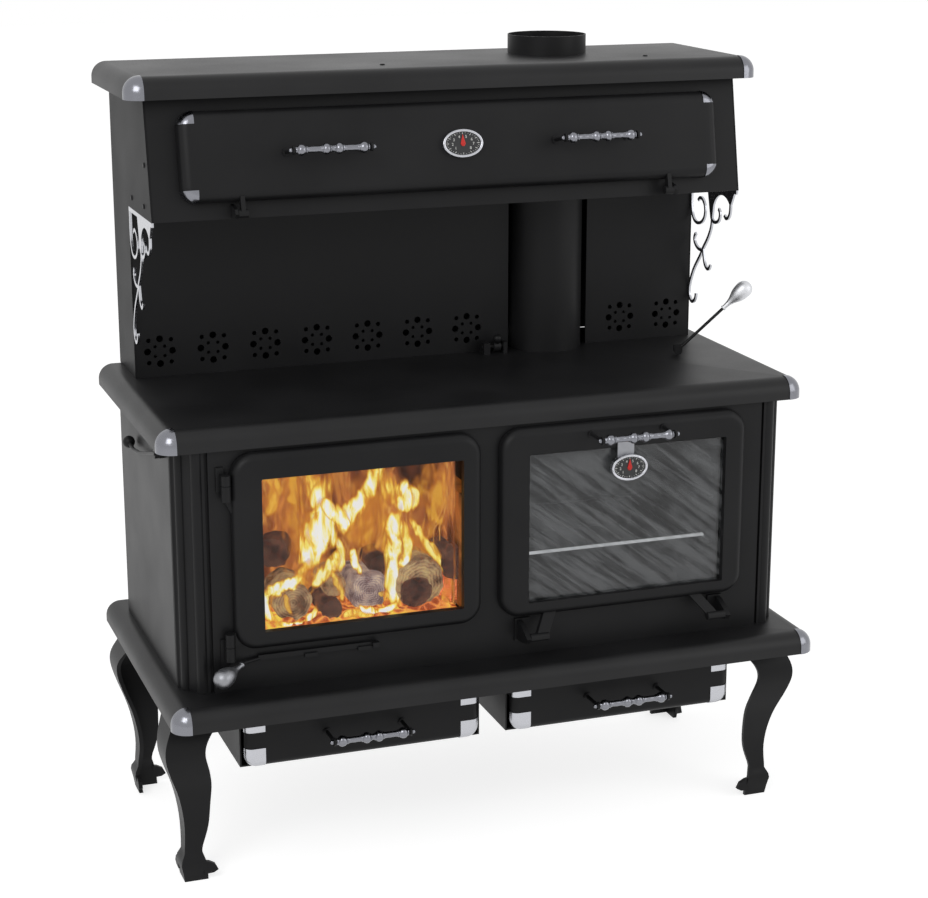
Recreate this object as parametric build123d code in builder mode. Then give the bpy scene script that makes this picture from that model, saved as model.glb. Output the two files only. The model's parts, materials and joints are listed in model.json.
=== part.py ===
from build123d import *
from math import hypot, sqrt
import os

# A wood cookstove: firebox and oven behind glazed doors, a cooktop, a warming cabinet over it,
# two drawers under the base and four curved legs.
# Millimetres. +X is the stove's right seen from the front, +Y its back, +Z up; the floor is z 0.

os.makedirs("parts", exist_ok=True)

# Plates with a rolled front and side edge
EDGE_HEIGHT = 40
ROLL_RADIUS = 28
CORNER_RADIUS = 30
CASTING = 6
CAP_SKIN = 1.3
CAP_REACH = 31
WARMING_CAP_REACH = (29, 24)
DRAWER_CAP_REACH = (38, 38)
BASE = dict(half_width=626, front=-321, rear=317, top=379)
COOKTOP = dict(half_width=620, front=-246, rear=316, top=866)
SHELF = dict(half_width=610, front=-30, rear=306, top=1449)
BASE_UNDERSIDE = BASE["top"] - CASTING

# Lower body
BODY_HALF_WIDTH = 592
SHEET = 6
SIDE_FRONT = -182
BODY_REAR = 255
BODY_TOP = COOKTOP["top"] - CASTING
FRONT_FACE = -238
FRONT_THICKNESS = 8
FRONT_HALF_WIDTH = 535
FRONT_TOP = 843
COLUMN_TOP = 840

# Doors: both frames share their height and thickness
DOOR_BACK = -240
DOOR_THICKNESS = 22
DOOR_FACE = DOOR_BACK - DOOR_THICKNESS
DOOR_BOTTOM = 458
DOOR_TOP = 819
DOOR_ROLL = 16
DOOR_CORNER = 40
FIRE_DOOR_X = (-497, -34)
FIRE_WINDOW = dict(left=-445, right=-71, bottom=491, top=773)
OVEN_DOOR_X = (3, 494)
OVEN_WINDOW = dict(left=56, right=451, bottom=486, top=770)
GLASS_REBATE = 10
GLASS_LAP = 12
GLASS_THICKNESS = 5

# Hinges
PIN_RADIUS = 4
RUNNING_FIT = 0.08
FIRE_PIVOT = (-507, -252)
KNUCKLE_RADIUS = 9
FIRE_KNUCKLES = (((766, 784), (737, 765)), ((441, 467), (468, 492)))
OVEN_PIVOT = (-285, 427)
OVEN_DOOR_CENTRE = sum(OVEN_DOOR_X) / 2
OVEN_BARREL_OFFSET = 180
OVEN_BARREL_LENGTH = 36
OVEN_BARREL_RADIUS = 7.5
WARMING_PIVOT = (-58, 1207)
WARMING_HINGE_X = 415
WARMING_BARREL_RADIUS = 7.5

# Upper part
UPPER_HALF_WIDTH = 575
UPPER_SHEET = 4
UPPER_REAR = 324
BACK_PANEL_FACE = 175
CABINET_TOP_FRONT = (9, 1409)
CABINET_BOTTOM_FRONT = (-32.4, 1194.2)
CABINET_SHEET = 5
UPPER_TOP = SHELF["top"] - CASTING
PIPE_CENTRE = (261, 191)
PIPE_RADIUS = 73.5
PIPE_WALL = 2
PIPE_TOP = SHELF["top"] - CASTING / 2
PIPE_CLEARANCE = 1
COLLAR_RADIUS = 76.2
COLLAR_WALL = 2.5
COLLAR_TOP = 1485

# Warming door, in the slanted plane of the cabinet's face
WARMING_DOOR = dict(width=1042, height=162, centre=-108, depth=34, corner=30, roll=18)

# Drawers
DRAWER_X = {"left": -257.5, "right": 257.5}
DRAWER_FRONT_WIDTH = 448
DRAWER_FRONT_HEIGHT = 105
DRAWER_FRONT_BOTTOM = 225
DRAWER_FRONT_FACE = -240
DRAWER_FRONT_THICKNESS = 18
DRAWER_DEPTH = 372
HOUSING_WIDTH = 462
HOUSING_WALL = 3

# Beaded bar grips on two posts
POST_SPACING = 144
GRIP_STANDOFF = 52
POST_RADIUS = 3.5
EYE_RADIUS = 7.5
EYE_WIDTH = 4
GRIP_SHAFT = 3.5


def keep(name, part):
    """Label a finished piece and write it as its own file."""
    part.label = name
    export_step(part, f"parts/{name}.step")


def facing_front(x, y, z):
    """Plane whose local X is the stove's right, local Y is up and whose normal looks forward."""
    return Plane(origin=(x, y, z), x_dir=(1, 0, 0), z_dir=(0, -1, 0))


def upright_box(x_span, y_span, z_span):
    """Box between two values on each axis."""
    with BuildPart() as box:
        with BuildSketch(Plane.XY.offset(z_span[0])):
            with Locations(((x_span[0] + x_span[1]) / 2, (y_span[0] + y_span[1]) / 2)):
                Rectangle(x_span[1] - x_span[0], y_span[1] - y_span[0])
        extrude(amount=z_span[1] - z_span[0])
    return box.part


def side_profile(points, x_span):
    """Plate cut to an outline of (y, z) points, standing between two values of x."""
    with BuildPart() as plate:
        with BuildSketch(Plane.YZ.offset(x_span[0])):
            with BuildLine():
                Polyline(*points, close=True)
            make_face()
        extrude(amount=x_span[1] - x_span[0])
    return plate.part


# ---------------------------------------------------------------- plates with rolled edges


def rolled_block(half_width, front, rear, bottom, top, corner, roll):
    """Block with round front corners whose top edge rolls over at the front and the sides."""
    with BuildPart() as block:
        with BuildSketch(Plane.XY.offset(bottom)) as outline:
            with Locations((0, (front + rear) / 2)):
                Rectangle(2 * half_width, rear - front)
            fillet(outline.vertices().group_by(Axis.Y)[0], corner)
        extrude(amount=top - bottom)
        top_edges = block.faces().sort_by(Axis.Z)[-1].edges()
        fillet(top_edges.sort_by(Axis.Y)[:-1], roll)
    return block.part


def plate_block(size, grow):
    """The plate's outer form, grown on every side by a skin or shrunk by a wall."""
    return rolled_block(
        size["half_width"] + grow,
        size["front"] - grow,
        size["rear"] + max(0, -grow),
        size["top"] - EDGE_HEIGHT - max(0, -grow),
        size["top"] + grow,
        CORNER_RADIUS + grow,
        ROLL_RADIUS + grow,
    )


def plate_casting(size, holes=()):
    """Cast plate, hollow underneath and open to the rear, with (centre, radius) round holes."""
    with BuildPart() as plate:
        add(plate_block(size, 0))
        add(plate_block(size, -CASTING), mode=Mode.SUBTRACT)
        for centre, radius in holes:
            with BuildSketch(Plane.XY.offset(size["top"])):
                with Locations(centre):
                    Circle(radius)
            extrude(amount=-CASTING, mode=Mode.SUBTRACT)
    return plate.part


def plate_corner_skins(size):
    """Bright skins over the two front corners of a plate."""
    with BuildPart() as skins:
        add(plate_block(size, CAP_SKIN))
        add(plate_block(size, 0), mode=Mode.SUBTRACT)
        reach = CAP_REACH + CAP_SKIN
        corner_x = size["half_width"] + CAP_SKIN - reach / 2
        corner_y = size["front"] - CAP_SKIN + reach / 2
        with BuildSketch(Plane.XY.offset(size["top"] - EDGE_HEIGHT)):
            with Locations((-corner_x, corner_y), (corner_x, corner_y)):
                Rectangle(reach, reach)
        extrude(amount=EDGE_HEIGHT + CAP_SKIN, mode=Mode.INTERSECT)
    return skins.part


ASH_HOLE_CENTRE = (-257, -20)
ASH_HOLE = (294, 234)

with BuildPart() as base_plate:
    add(plate_casting(BASE))
    with BuildSketch(Plane.XY.offset(BASE["top"])):
        with Locations(ASH_HOLE_CENTRE):
            Rectangle(*ASH_HOLE)
    extrude(amount=-CASTING, mode=Mode.SUBTRACT)
keep("base_plate", base_plate.part)

keep("cooktop", plate_casting(COOKTOP, [(PIPE_CENTRE, PIPE_RADIUS - 5)]))
keep("top_shelf", plate_casting(SHELF, [(PIPE_CENTRE, PIPE_RADIUS + PIPE_CLEARANCE)]))

with BuildPart() as plate_corner_caps:
    for size in (BASE, COOKTOP, SHELF):
        add(plate_corner_skins(size))
keep("plate_corner_caps", plate_corner_caps.part)

# ---------------------------------------------------------------- legs

# Each leg is an L-section: height, how far its outer corner stands beyond the ankle line, arm width
LEG_LINE_X = 593
LEG_LINE_Y = {"front": -199, "rear": 262}
LEG_WALL = 8
LEG_CURVE = (
    (365, 11, 92),
    (345, 12, 90),
    (300, 25, 81),
    (262, 34, 73),
    (237, 29, 73),
    (214, 21.5, 71),
    (185, 11, 64),
    (155, 3, 55),
    (120, -2.5, 47.5),
    (92, -3.7, 41),
    (55, -1.5, 33.5),
)
LEG_FOOT = ((55, -1.5, 33.5), (43, 5, 44), (35, 6.4, 47), (16, 2.5, 46), (0, 0, 44))
TOE = ((40, 38), (50, 36), (61, 30), (67, 18), (58, 13), (40, 12))
PAD = (92, 8)


def leg_section(height, offset, width, line_y, outward):
    """L-shaped section of a right-hand leg; outward is -1 at the front and +1 at the rear."""
    x = LEG_LINE_X + offset
    y = line_y + outward * offset
    arm = outward * width
    wall = outward * LEG_WALL
    with BuildSketch(Plane.XY.offset(height)) as section:
        with BuildLine():
            Polyline(
                (x, y),
                (x, y - arm),
                (x - LEG_WALL, y - arm),
                (x - LEG_WALL, y - wall),
                (x - width, y - wall),
                (x - width, y),
                close=True,
            )
        make_face()
    return section.sketch.faces()[0]


def leg_pair(line_y, outward):
    """Cabriole leg with its foot, two toes and a bolting pad, and its mirror image."""
    toe_y = line_y + outward * 4
    toe_x = LEG_LINE_X + 4
    with BuildPart() as legs:
        loft([leg_section(*row, line_y, outward) for row in LEG_CURVE])
        loft([leg_section(*row, line_y, outward) for row in LEG_FOOT], ruled=True)
        with BuildSketch(Plane.XZ.offset(-toe_y)):
            with BuildLine():
                Polyline(*[(toe_x - reach, height) for reach, height in TOE], close=True)
            make_face()
        extrude(amount=outward * LEG_WALL)
        with BuildSketch(Plane.YZ.offset(toe_x)):
            with BuildLine():
                Polyline(*[(toe_y - outward * reach, height) for reach, height in TOE], close=True)
            make_face()
        extrude(amount=-LEG_WALL)
        pad_side, pad_thickness = PAD
        with BuildSketch(Plane.XY.offset(BASE_UNDERSIDE - pad_thickness)):
            with Locations((LEG_LINE_X + 5 - pad_side / 2, line_y + outward * (11 - pad_side / 2))):
                Rectangle(pad_side, pad_side)
        extrude(amount=pad_thickness)
        mirror(about=Plane.YZ)
    return legs.part


keep("front_legs", leg_pair(LEG_LINE_Y["front"], -1))
keep("rear_legs", leg_pair(LEG_LINE_Y["rear"], 1))

# ---------------------------------------------------------------- lower body

for side, sign in (("left", -1), ("right", 1)):
    span = sorted((sign * (BODY_HALF_WIDTH - SHEET), sign * BODY_HALF_WIDTH))
    keep(f"{side}_side_panel", upright_box(span, (SIDE_FRONT, BODY_REAR), (BASE["top"], BODY_TOP)))

rear_span = (-BODY_HALF_WIDTH + SHEET, BODY_HALF_WIDTH - SHEET)
keep("rear_panel", upright_box(rear_span, (BODY_REAR - SHEET, BODY_REAR), (BASE["top"], BODY_TOP)))

FIRE_MOUTH = dict(left=-455, right=-65, bottom=480, top=790)
OVEN_MOUTH = dict(left=50, right=450, bottom=478, top=790)
MOUTH_CORNER = 6
AIR_SLOT = dict(left=-420, right=-270, bottom=437, top=440.5)


def opening_sketch(opening, corner):
    """Rounded rectangle at an opening's place, drawn on the front plane through the origin."""
    centre_x = (opening["left"] + opening["right"]) / 2
    centre_z = (opening["bottom"] + opening["top"]) / 2
    with Locations((centre_x, centre_z)):
        RectangleRounded(opening["right"] - opening["left"], opening["top"] - opening["bottom"], corner)


with BuildPart() as front_plate:
    with BuildSketch(facing_front(0, FRONT_FACE, 0)):
        with Locations((0, (BASE["top"] + FRONT_TOP) / 2)):
            Rectangle(2 * FRONT_HALF_WIDTH, FRONT_TOP - BASE["top"])
        with BuildSketch(mode=Mode.SUBTRACT):
            opening_sketch(FIRE_MOUTH, MOUTH_CORNER)
            opening_sketch(OVEN_MOUTH, MOUTH_CORNER)
            opening_sketch(AIR_SLOT, 1)
    extrude(amount=-FRONT_THICKNESS)
keep("front_plate", front_plate.part)

# Reeded columns across the front corners, with a flange behind the front plate
COLUMN_CORE = (
    (592, -182),
    (590, -189),
    (551, -236),
    (541, -236),
    (541, -230),
    (515, -230),
    (515, -224),
    (545, -224),
    (578, -184),
    (578, -170),
    (586, -170),
    (586, -182),
)
COLUMN_REEDS = (((587.5, -187), 4.5), ((577, -199), 9.5), ((554, -229), 10.5))

with BuildPart() as corner_columns:
    with BuildSketch(Plane.XY.offset(BASE["top"])):
        with BuildLine():
            Polyline(*COLUMN_CORE, close=True)
        make_face()
        for centre, radius in COLUMN_REEDS:
            with Locations(centre):
                Circle(radius)
    extrude(amount=COLUMN_TOP - BASE["top"])
    mirror(about=Plane.YZ)
keep("corner_columns", corner_columns.part)

# ---------------------------------------------------------------- firebox and oven

FIREBOX = dict(left=-497, right=-23, front=-230, rear=163, bottom=461, top=812)
BOX_WALL = 5
BRICK_THICKNESS = 32
BRICK_WIDTH = 114
BRICK_HEIGHT = 229
BRICK_JOINT = 1
BAFFLE_LEDGE = 745
BAFFLE_FRONT = -110
BAFFLE_THICKNESS = 6
LEDGE_REACH = 20
OVEN_BOX = dict(left=45, right=455, front=-230, rear=170, bottom=473, top=795)
RUNNER_TOP = 553.5
RUNNER = dict(pitch=90, width=8, thickness=5, front=-215)


def open_box(box, wall, open_top):
    """Sheet box open at the front, and also at the top where the gases leave it."""
    with BuildPart() as shell:
        x_span, y_span = (box["left"], box["right"]), (box["front"], box["rear"])
        add(upright_box(x_span, y_span, (box["bottom"], box["top"])))
        inner_top = box["top"] + 1 if open_top else box["top"] - wall
        add(
            upright_box(
                (x_span[0] + wall, x_span[1] - wall),
                (y_span[0] - 1, y_span[1] - wall),
                (box["bottom"] + wall, inner_top),
            ),
            mode=Mode.SUBTRACT,
        )
    return shell.part


with BuildPart() as firebox_shell:
    add(open_box(FIREBOX, BOX_WALL, True))
    with BuildSketch(Plane.XY.offset(FIREBOX["bottom"])):
        with Locations(ASH_HOLE_CENTRE):
            Rectangle(*ASH_HOLE)
    extrude(amount=BOX_WALL, mode=Mode.SUBTRACT)
    # ash chute down to the base plate
    with BuildSketch(Plane.XY.offset(BASE["top"])):
        with Locations(ASH_HOLE_CENTRE):
            Rectangle(ASH_HOLE[0] + 2 * HOUSING_WALL, ASH_HOLE[1] + 2 * HOUSING_WALL)
            Rectangle(*ASH_HOLE, mode=Mode.SUBTRACT)
    extrude(amount=FIREBOX["bottom"] - BASE["top"])
    # ledges that carry the baffle
    left_ledge = (FIREBOX["left"] + BOX_WALL, FIREBOX["left"] + LEDGE_REACH)
    right_ledge = (FIREBOX["right"] - LEDGE_REACH, FIREBOX["right"] - BOX_WALL)
    for ledge in (left_ledge, right_ledge):
        ledge_run = (BAFFLE_FRONT + 20, FIREBOX["rear"] - BOX_WALL)
        add(upright_box(ledge, ledge_run, (BAFFLE_LEDGE - BOX_WALL, BAFFLE_LEDGE)))
keep("firebox_shell", firebox_shell.part)

with BuildPart() as firebricks:
    brick_floor = FIREBOX["bottom"] + BOX_WALL
    back_face = FIREBOX["rear"] - BOX_WALL
    with BuildSketch(Plane.XY.offset(brick_floor)):
        pitch = BRICK_WIDTH + BRICK_JOINT
        middle = (FIREBOX["left"] + FIREBOX["right"]) / 2
        with Locations((middle, back_face - BRICK_THICKNESS / 2)):
            with GridLocations(pitch, 1, 4, 1):
                Rectangle(BRICK_WIDTH, BRICK_THICKNESS)
        side_middle = back_face - BRICK_THICKNESS - BRICK_JOINT - 1.5 * pitch
        for wall_face, inward in ((FIREBOX["left"] + BOX_WALL, 1), (FIREBOX["right"] - BOX_WALL, -1)):
            with Locations((wall_face + inward * BRICK_THICKNESS / 2, side_middle)):
                with GridLocations(1, pitch, 1, 3):
                    Rectangle(BRICK_THICKNESS, BRICK_WIDTH)
    extrude(amount=BRICK_HEIGHT)
keep("firebricks", firebricks.part)

GRATE_THICKNESS = 12
with BuildPart() as fire_grate:
    grate_left = FIREBOX["left"] + BOX_WALL + BRICK_THICKNESS + 2
    grate_right = FIREBOX["right"] - BOX_WALL - BRICK_THICKNESS - 2
    grate_front = FIREBOX["front"] + 8
    grate_rear = back_face - BRICK_THICKNESS - 2
    with BuildSketch(Plane.XY.offset(brick_floor)):
        with Locations(((grate_left + grate_right) / 2, (grate_front + grate_rear) / 2)):
            Rectangle(grate_right - grate_left, grate_rear - grate_front)
        with Locations(ASH_HOLE_CENTRE):
            with GridLocations(24, 112, 12, 2):
                Rectangle(9, 98, mode=Mode.SUBTRACT)
    extrude(amount=GRATE_THICKNESS)
keep("fire_grate", fire_grate.part)

with BuildPart() as smoke_baffle:
    baffle_span = (FIREBOX["left"] + BOX_WALL + 1, FIREBOX["right"] - BOX_WALL - 1)
    baffle_run = (BAFFLE_FRONT, back_face - 40)
    add(upright_box(baffle_span, baffle_run, (BAFFLE_LEDGE, BAFFLE_LEDGE + BAFFLE_THICKNESS)))
    lip_span = (FIREBOX["left"] + LEDGE_REACH + 4, FIREBOX["right"] - LEDGE_REACH - 4)
    lip_run = (BAFFLE_FRONT, BAFFLE_FRONT + BAFFLE_THICKNESS)
    add(upright_box(lip_span, lip_run, (BAFFLE_LEDGE - 22, BAFFLE_LEDGE)))
keep("smoke_baffle", smoke_baffle.part)

with BuildPart() as oven_box:
    add(open_box(OVEN_BOX, BOX_WALL, False))
    for level in (RUNNER_TOP, RUNNER_TOP + RUNNER["pitch"]):
        for inner_edge in (OVEN_BOX["left"] + BOX_WALL + RUNNER["width"], OVEN_BOX["right"] - BOX_WALL):
            x_span = (inner_edge - RUNNER["width"], inner_edge)
            y_span = (RUNNER["front"], OVEN_BOX["rear"] - BOX_WALL)
            add(upright_box(x_span, y_span, (level - RUNNER["thickness"], level)))
keep("oven_box", oven_box.part)

# Wire rack: a frame rod with cross wires, resting on the runners
RACK_FRONT = -184
RACK_DEPTH = 290
RACK_HALF_WIDTH = 193
RACK_CENTRE_X = (OVEN_BOX["left"] + OVEN_BOX["right"]) / 2
RACK_ROD = 3
RACK_WIRE = 2
WIRE_COUNT = 11
RACK_LEVEL = RUNNER_TOP + RACK_ROD + 0.5


def wire(start, end, radius):
    """Straight wire between two points."""
    direction = Vector(*end) - Vector(*start)
    with BuildPart() as rod:
        with BuildSketch(Plane(origin=start, z_dir=direction)):
            Circle(radius)
        extrude(amount=direction.length)
    return rod.part


with BuildPart() as oven_rack:
    left = RACK_CENTRE_X - RACK_HALF_WIDTH
    right = RACK_CENTRE_X + RACK_HALF_WIDTH
    rear = RACK_FRONT + RACK_DEPTH
    for x in (left, right):
        add(wire((x, RACK_FRONT - RACK_ROD, RACK_LEVEL), (x, rear + RACK_ROD, RACK_LEVEL), RACK_ROD))
    for y in (RACK_FRONT, rear):
        add(wire((left, y, RACK_LEVEL), (right, y, RACK_LEVEL), RACK_ROD))
    for index in range(1, WIRE_COUNT + 1):
        x = left + index * 2 * RACK_HALF_WIDTH / (WIRE_COUNT + 1)
        add(wire((x, RACK_FRONT, RACK_LEVEL), (x, rear, RACK_LEVEL), RACK_WIRE))
keep("oven_rack", oven_rack.part)

# ---------------------------------------------------------------- upper part

SIDE_OUTLINE = (
    (UPPER_REAR, COOKTOP["top"]),
    (UPPER_REAR, UPPER_TOP),
    (CABINET_TOP_FRONT[0] + 6.6, UPPER_TOP),
    CABINET_TOP_FRONT,
    CABINET_BOTTOM_FRONT,
    (BACK_PANEL_FACE, CABINET_BOTTOM_FRONT[1]),
    (BACK_PANEL_FACE, COOKTOP["top"]),
)
INNER_HALF_WIDTH = UPPER_HALF_WIDTH - UPPER_SHEET
keep("upper_side_left", side_profile(SIDE_OUTLINE, (-UPPER_HALF_WIDTH, -INNER_HALF_WIDTH)))
keep("upper_side_right", side_profile(SIDE_OUTLINE, (INNER_HALF_WIDTH, UPPER_HALF_WIDTH)))

SHIELD_FRONT = UPPER_REAR - UPPER_SHEET
INNER_SPAN = (-INNER_HALF_WIDTH, INNER_HALF_WIDTH)
shield = upright_box(INNER_SPAN, (SHIELD_FRONT, UPPER_REAR), (COOKTOP["top"], UPPER_TOP))
keep("rear_heat_shield", shield)

# Vents: a flower of twelve holes, cast with eight or six flats
VENT_HEIGHT = 915
VENT_PITCH = 102.7
VENT_RINGS = ((24, 7, 8, 0), (30.5, 4.8, 6, 45), (13, 3.6, 6, 45))
PANEL_EDGES = dict(left=(-INNER_HALF_WIDTH, 177.5), right=(345, INNER_HALF_WIDTH))
VENT_COLUMNS = dict(left=[-526 + VENT_PITCH * index for index in range(7)], right=[420, 523])


def back_panel(edges, columns):
    """Panel behind the cooktop with its row of flower vents."""
    with BuildPart() as panel:
        with BuildSketch(facing_front(0, BACK_PANEL_FACE, 0)):
            with Locations((sum(edges) / 2, (COOKTOP["top"] + CABINET_BOTTOM_FRONT[1]) / 2)):
                Rectangle(edges[1] - edges[0], CABINET_BOTTOM_FRONT[1] - COOKTOP["top"])
            for x in columns:
                with Locations((x, VENT_HEIGHT)):
                    for ring, hole, flats, start in VENT_RINGS:
                        with PolarLocations(ring, 4, start_angle=start):
                            RegularPolygon(hole, flats, mode=Mode.SUBTRACT)
        extrude(amount=-UPPER_SHEET)
    return panel.part


for side in ("left", "right"):
    keep(f"back_panel_{side}", back_panel(PANEL_EDGES[side], VENT_COLUMNS[side]))


def tube(centre, outer, inner, bottom, top):
    """Round tube standing on a height."""
    with BuildPart() as pipe:
        with BuildSketch(Plane.XY.offset(bottom)):
            with Locations(centre):
                Circle(outer)
                Circle(inner, mode=Mode.SUBTRACT)
        extrude(amount=top - bottom)
    return pipe.part


# the pipe ends inside the shelf's hole, short of the collar that stands on the shelf
keep("flue_pipe", tube(PIPE_CENTRE, PIPE_RADIUS, PIPE_RADIUS - PIPE_WALL, COOKTOP["top"], PIPE_TOP))
collar_bore = COLLAR_RADIUS - COLLAR_WALL
keep("flue_collar", tube(PIPE_CENTRE, COLLAR_RADIUS, collar_bore, SHELF["top"], COLLAR_TOP))

# Cabinet: a slanted face with the door opening, and a floor around the pipe
CABINET_FLOOR = CABINET_BOTTOM_FRONT[1]
face_run = CABINET_TOP_FRONT[0] - CABINET_BOTTOM_FRONT[0]
face_rise = CABINET_TOP_FRONT[1] - CABINET_BOTTOM_FRONT[1]
FACE_LENGTH = hypot(face_run, face_rise)
SLANT = Plane(
    origin=(0, CABINET_TOP_FRONT[0], CABINET_TOP_FRONT[1]),
    x_dir=(1, 0, 0),
    z_dir=(0, -face_rise, face_run),
)
CABINET_MOUTH = (980, 118)

with BuildPart() as warming_cabinet_shell:
    with BuildSketch(SLANT):
        with Locations((0, (34 - FACE_LENGTH) / 2)):
            Rectangle(2 * INNER_HALF_WIDTH, FACE_LENGTH + 34)
        with Locations((0, WARMING_DOOR["centre"])):
            RectangleRounded(*CABINET_MOUTH, 15, mode=Mode.SUBTRACT)
    extrude(amount=-CABINET_SHEET)
    add(
        upright_box(
            INNER_SPAN,
            (CABINET_BOTTOM_FRONT[0] + 1, SHIELD_FRONT),
            (CABINET_FLOOR, CABINET_FLOOR + CABINET_SHEET),
        )
    )
    with BuildSketch(Plane.XY.offset(CABINET_FLOOR)):
        with Locations(PIPE_CENTRE):
            Circle(PIPE_RADIUS + PIPE_CLEARANCE)
    extrude(amount=CABINET_SHEET, mode=Mode.SUBTRACT)
keep("warming_cabinet_shell", warming_cabinet_shell.part)

# Scroll brackets under the cabinet's sides, as (y, z) curves of one width
SCROLL_WIDTH = 6.5
SCROLL_THICKNESS = 4
SCROLL_CURVES = (
    (
        ((171, 1188), (171, 1160), (168, 1129), (157, 1110), (134, 1105))
        + ((109, 1121), (108, 1143), (124, 1157), (139, 1150))
    ),
    ((88, 1180), (78, 1139), (75, 1116), (82, 1095), (95, 1076), (112, 1057)),
    ((146, 1082), (152, 1067), (142, 1057), (118, 1054)),
    (
        ((112, 1057), (129, 1034), (150, 1010), (164, 986), (171, 964))
        + ((167, 947), (155, 940), (143, 947), (139, 960))
    ),
    ((112, 1057), (106, 1036), (99, 1024), (88, 1019), (77, 1029)),
    ((75, 1122), (57, 1118), (42, 1127), (40, 1139), (47, 1146)),
    ((-8, 1185), (-5, 1158), (-2, 1142), (8, 1133), (20, 1138)),
)
SCROLL_WEB_OUTER = ((100, 1194), (-29, 1194), (-20, 1183), (-9, 1163))
SCROLL_WEB_INNER = ((-1, 1163), (31, 1176), (68, 1150), (72, 1122), (80, 1122), (93, 1168))

with BuildPart() as scroll_brackets:
    with BuildSketch(Plane.YZ.offset(UPPER_HALF_WIDTH - SCROLL_THICKNESS)):
        for points in SCROLL_CURVES:
            with BuildLine():
                Spline(*points)
            trace(line_width=SCROLL_WIDTH)
        with BuildLine():
            Polyline(*SCROLL_WEB_OUTER, SCROLL_WEB_INNER[0])
            ThreePointArc(*SCROLL_WEB_INNER[:3])
            Polyline(*SCROLL_WEB_INNER[2:], SCROLL_WEB_OUTER[0])
        make_face()
        with Locations((72, 1190)):
            Rectangle(206, 8)
    extrude(amount=SCROLL_THICKNESS)
    mirror(about=Plane.YZ)
keep("scroll_brackets", scroll_brackets.part)

# ---------------------------------------------------------------- grips, posts, caps and dials


def rolled_pan(plane, width, height, depth, corner, roll):
    """Panel with round corners whose front edge rolls back towards the plane it stands on."""
    with BuildPart() as pan:
        with BuildSketch(plane):
            RectangleRounded(width, height, corner)
        extrude(amount=depth)
        front = pan.faces().sort_by(Axis(plane.origin, plane.z_dir))[-1]
        fillet(front.edges(), roll)
    return pan.part


def pan_corner_skins(plane, width, height, depth, corner, roll, reach):
    """Bright skins over the four corners of a rolled panel, as wide and as high as their reach."""
    grow = 2 * CAP_SKIN
    grown = (width + grow, height + grow, depth + CAP_SKIN, corner + CAP_SKIN, roll + CAP_SKIN)
    with BuildPart() as skins:
        add(rolled_pan(plane, *grown))
        add(rolled_pan(plane, width, height, depth, corner, roll), mode=Mode.SUBTRACT)
        with BuildSketch(plane):
            with GridLocations(width + grow - reach[0], height + grow - reach[1], 2, 2):
                Rectangle(*reach)
        extrude(amount=depth + CAP_SKIN, mode=Mode.INTERSECT)
    return skins.part


def shifted(plane, x, y, z=0):
    """The same plane with its origin moved along its own axes."""
    origin = plane.origin + plane.x_dir * x + plane.y_dir * y + plane.z_dir * z
    return Plane(origin=origin, x_dir=plane.x_dir, z_dir=plane.z_dir)


def handle_posts(face):
    """Two posts standing on a face, each ending in an eye for the grip's shaft."""
    with BuildPart() as posts:
        for side in (-1, 1):
            x = side * POST_SPACING / 2
            with BuildSketch(shifted(face, x, 0, -6)):
                Circle(POST_RADIUS * 2)
            extrude(amount=9)
            with BuildSketch(shifted(face, x, 0)):
                Circle(POST_RADIUS)
            extrude(amount=GRIP_STANDOFF - EYE_RADIUS + 0.5)
            start = shifted(face, x - EYE_WIDTH / 2, 0, GRIP_STANDOFF).origin
            across = Plane(origin=start, x_dir=face.y_dir, z_dir=face.x_dir)
            with BuildSketch(across):
                Circle(EYE_RADIUS)
            extrude(amount=EYE_WIDTH)
            with BuildSketch(across):
                Circle(GRIP_SHAFT)
            extrude(amount=EYE_WIDTH, mode=Mode.SUBTRACT)
    return posts.part


def beaded_grip(face):
    """Turned bar with two beads in the middle, one near each post and a ball at each tip."""
    axis_plane = shifted(face, 0, 0, GRIP_STANDOFF)
    tip = POST_SPACING / 2 + EYE_WIDTH / 2
    with BuildPart() as grip:
        with BuildSketch(axis_plane):
            with BuildLine():
                Polyline((0, 0), (0, 5.8), (3, 6.4), (7, 8.8))
                ThreePointArc((7, 8.8), (11.8, 10), (16.6, 8.8))
                Polyline((16.6, 8.8), (22, 6), (34, 5.5), (45, 5.8), (53.5, 8.9))
                ThreePointArc((53.5, 8.9), (58.5, 10.2), (63.2, 9))
                Polyline((63.2, 9), (tip - EYE_WIDTH, 4.6), (tip - EYE_WIDTH, GRIP_SHAFT))
                Polyline((tip - EYE_WIDTH, GRIP_SHAFT), (tip, GRIP_SHAFT), (tip, 3.8), (tip + 2, 4.2))
                Polyline((tip + 2, 4.2), (tip + 5, 3.6), (tip + 7, 1.6), (tip + 7, 0), (0, 0))
            make_face()
        revolve(axis=Axis(axis_plane.origin, axis_plane.x_dir))
        mirror(about=Plane(origin=axis_plane.origin, z_dir=axis_plane.x_dir))
    return grip.part


WARMING_DIAL = (39, 26)
OVEN_DIAL = (36, 25)
DIAL_RIM = 5
DIAL_DEPTH = 10
DIAL_RECESS = 3
STEM_RADIUS = 1.5


def dial_case(plane, half_width, half_height):
    """Oval thermometer case with a raised rim, a sunk dial and the needle's stem."""
    with BuildPart() as case:
        with BuildSketch(plane):
            Ellipse(half_width, half_height)
        extrude(amount=DIAL_DEPTH)
        with BuildSketch(shifted(plane, 0, 0, DIAL_DEPTH)):
            Ellipse(half_width - DIAL_RIM, half_height - DIAL_RIM)
        extrude(amount=-DIAL_RECESS, mode=Mode.SUBTRACT)
        with BuildSketch(shifted(plane, 0, 0, DIAL_DEPTH - DIAL_RECESS)):
            Circle(STEM_RADIUS)
        extrude(amount=DIAL_RECESS - 0.2)
    return case.part


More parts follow.
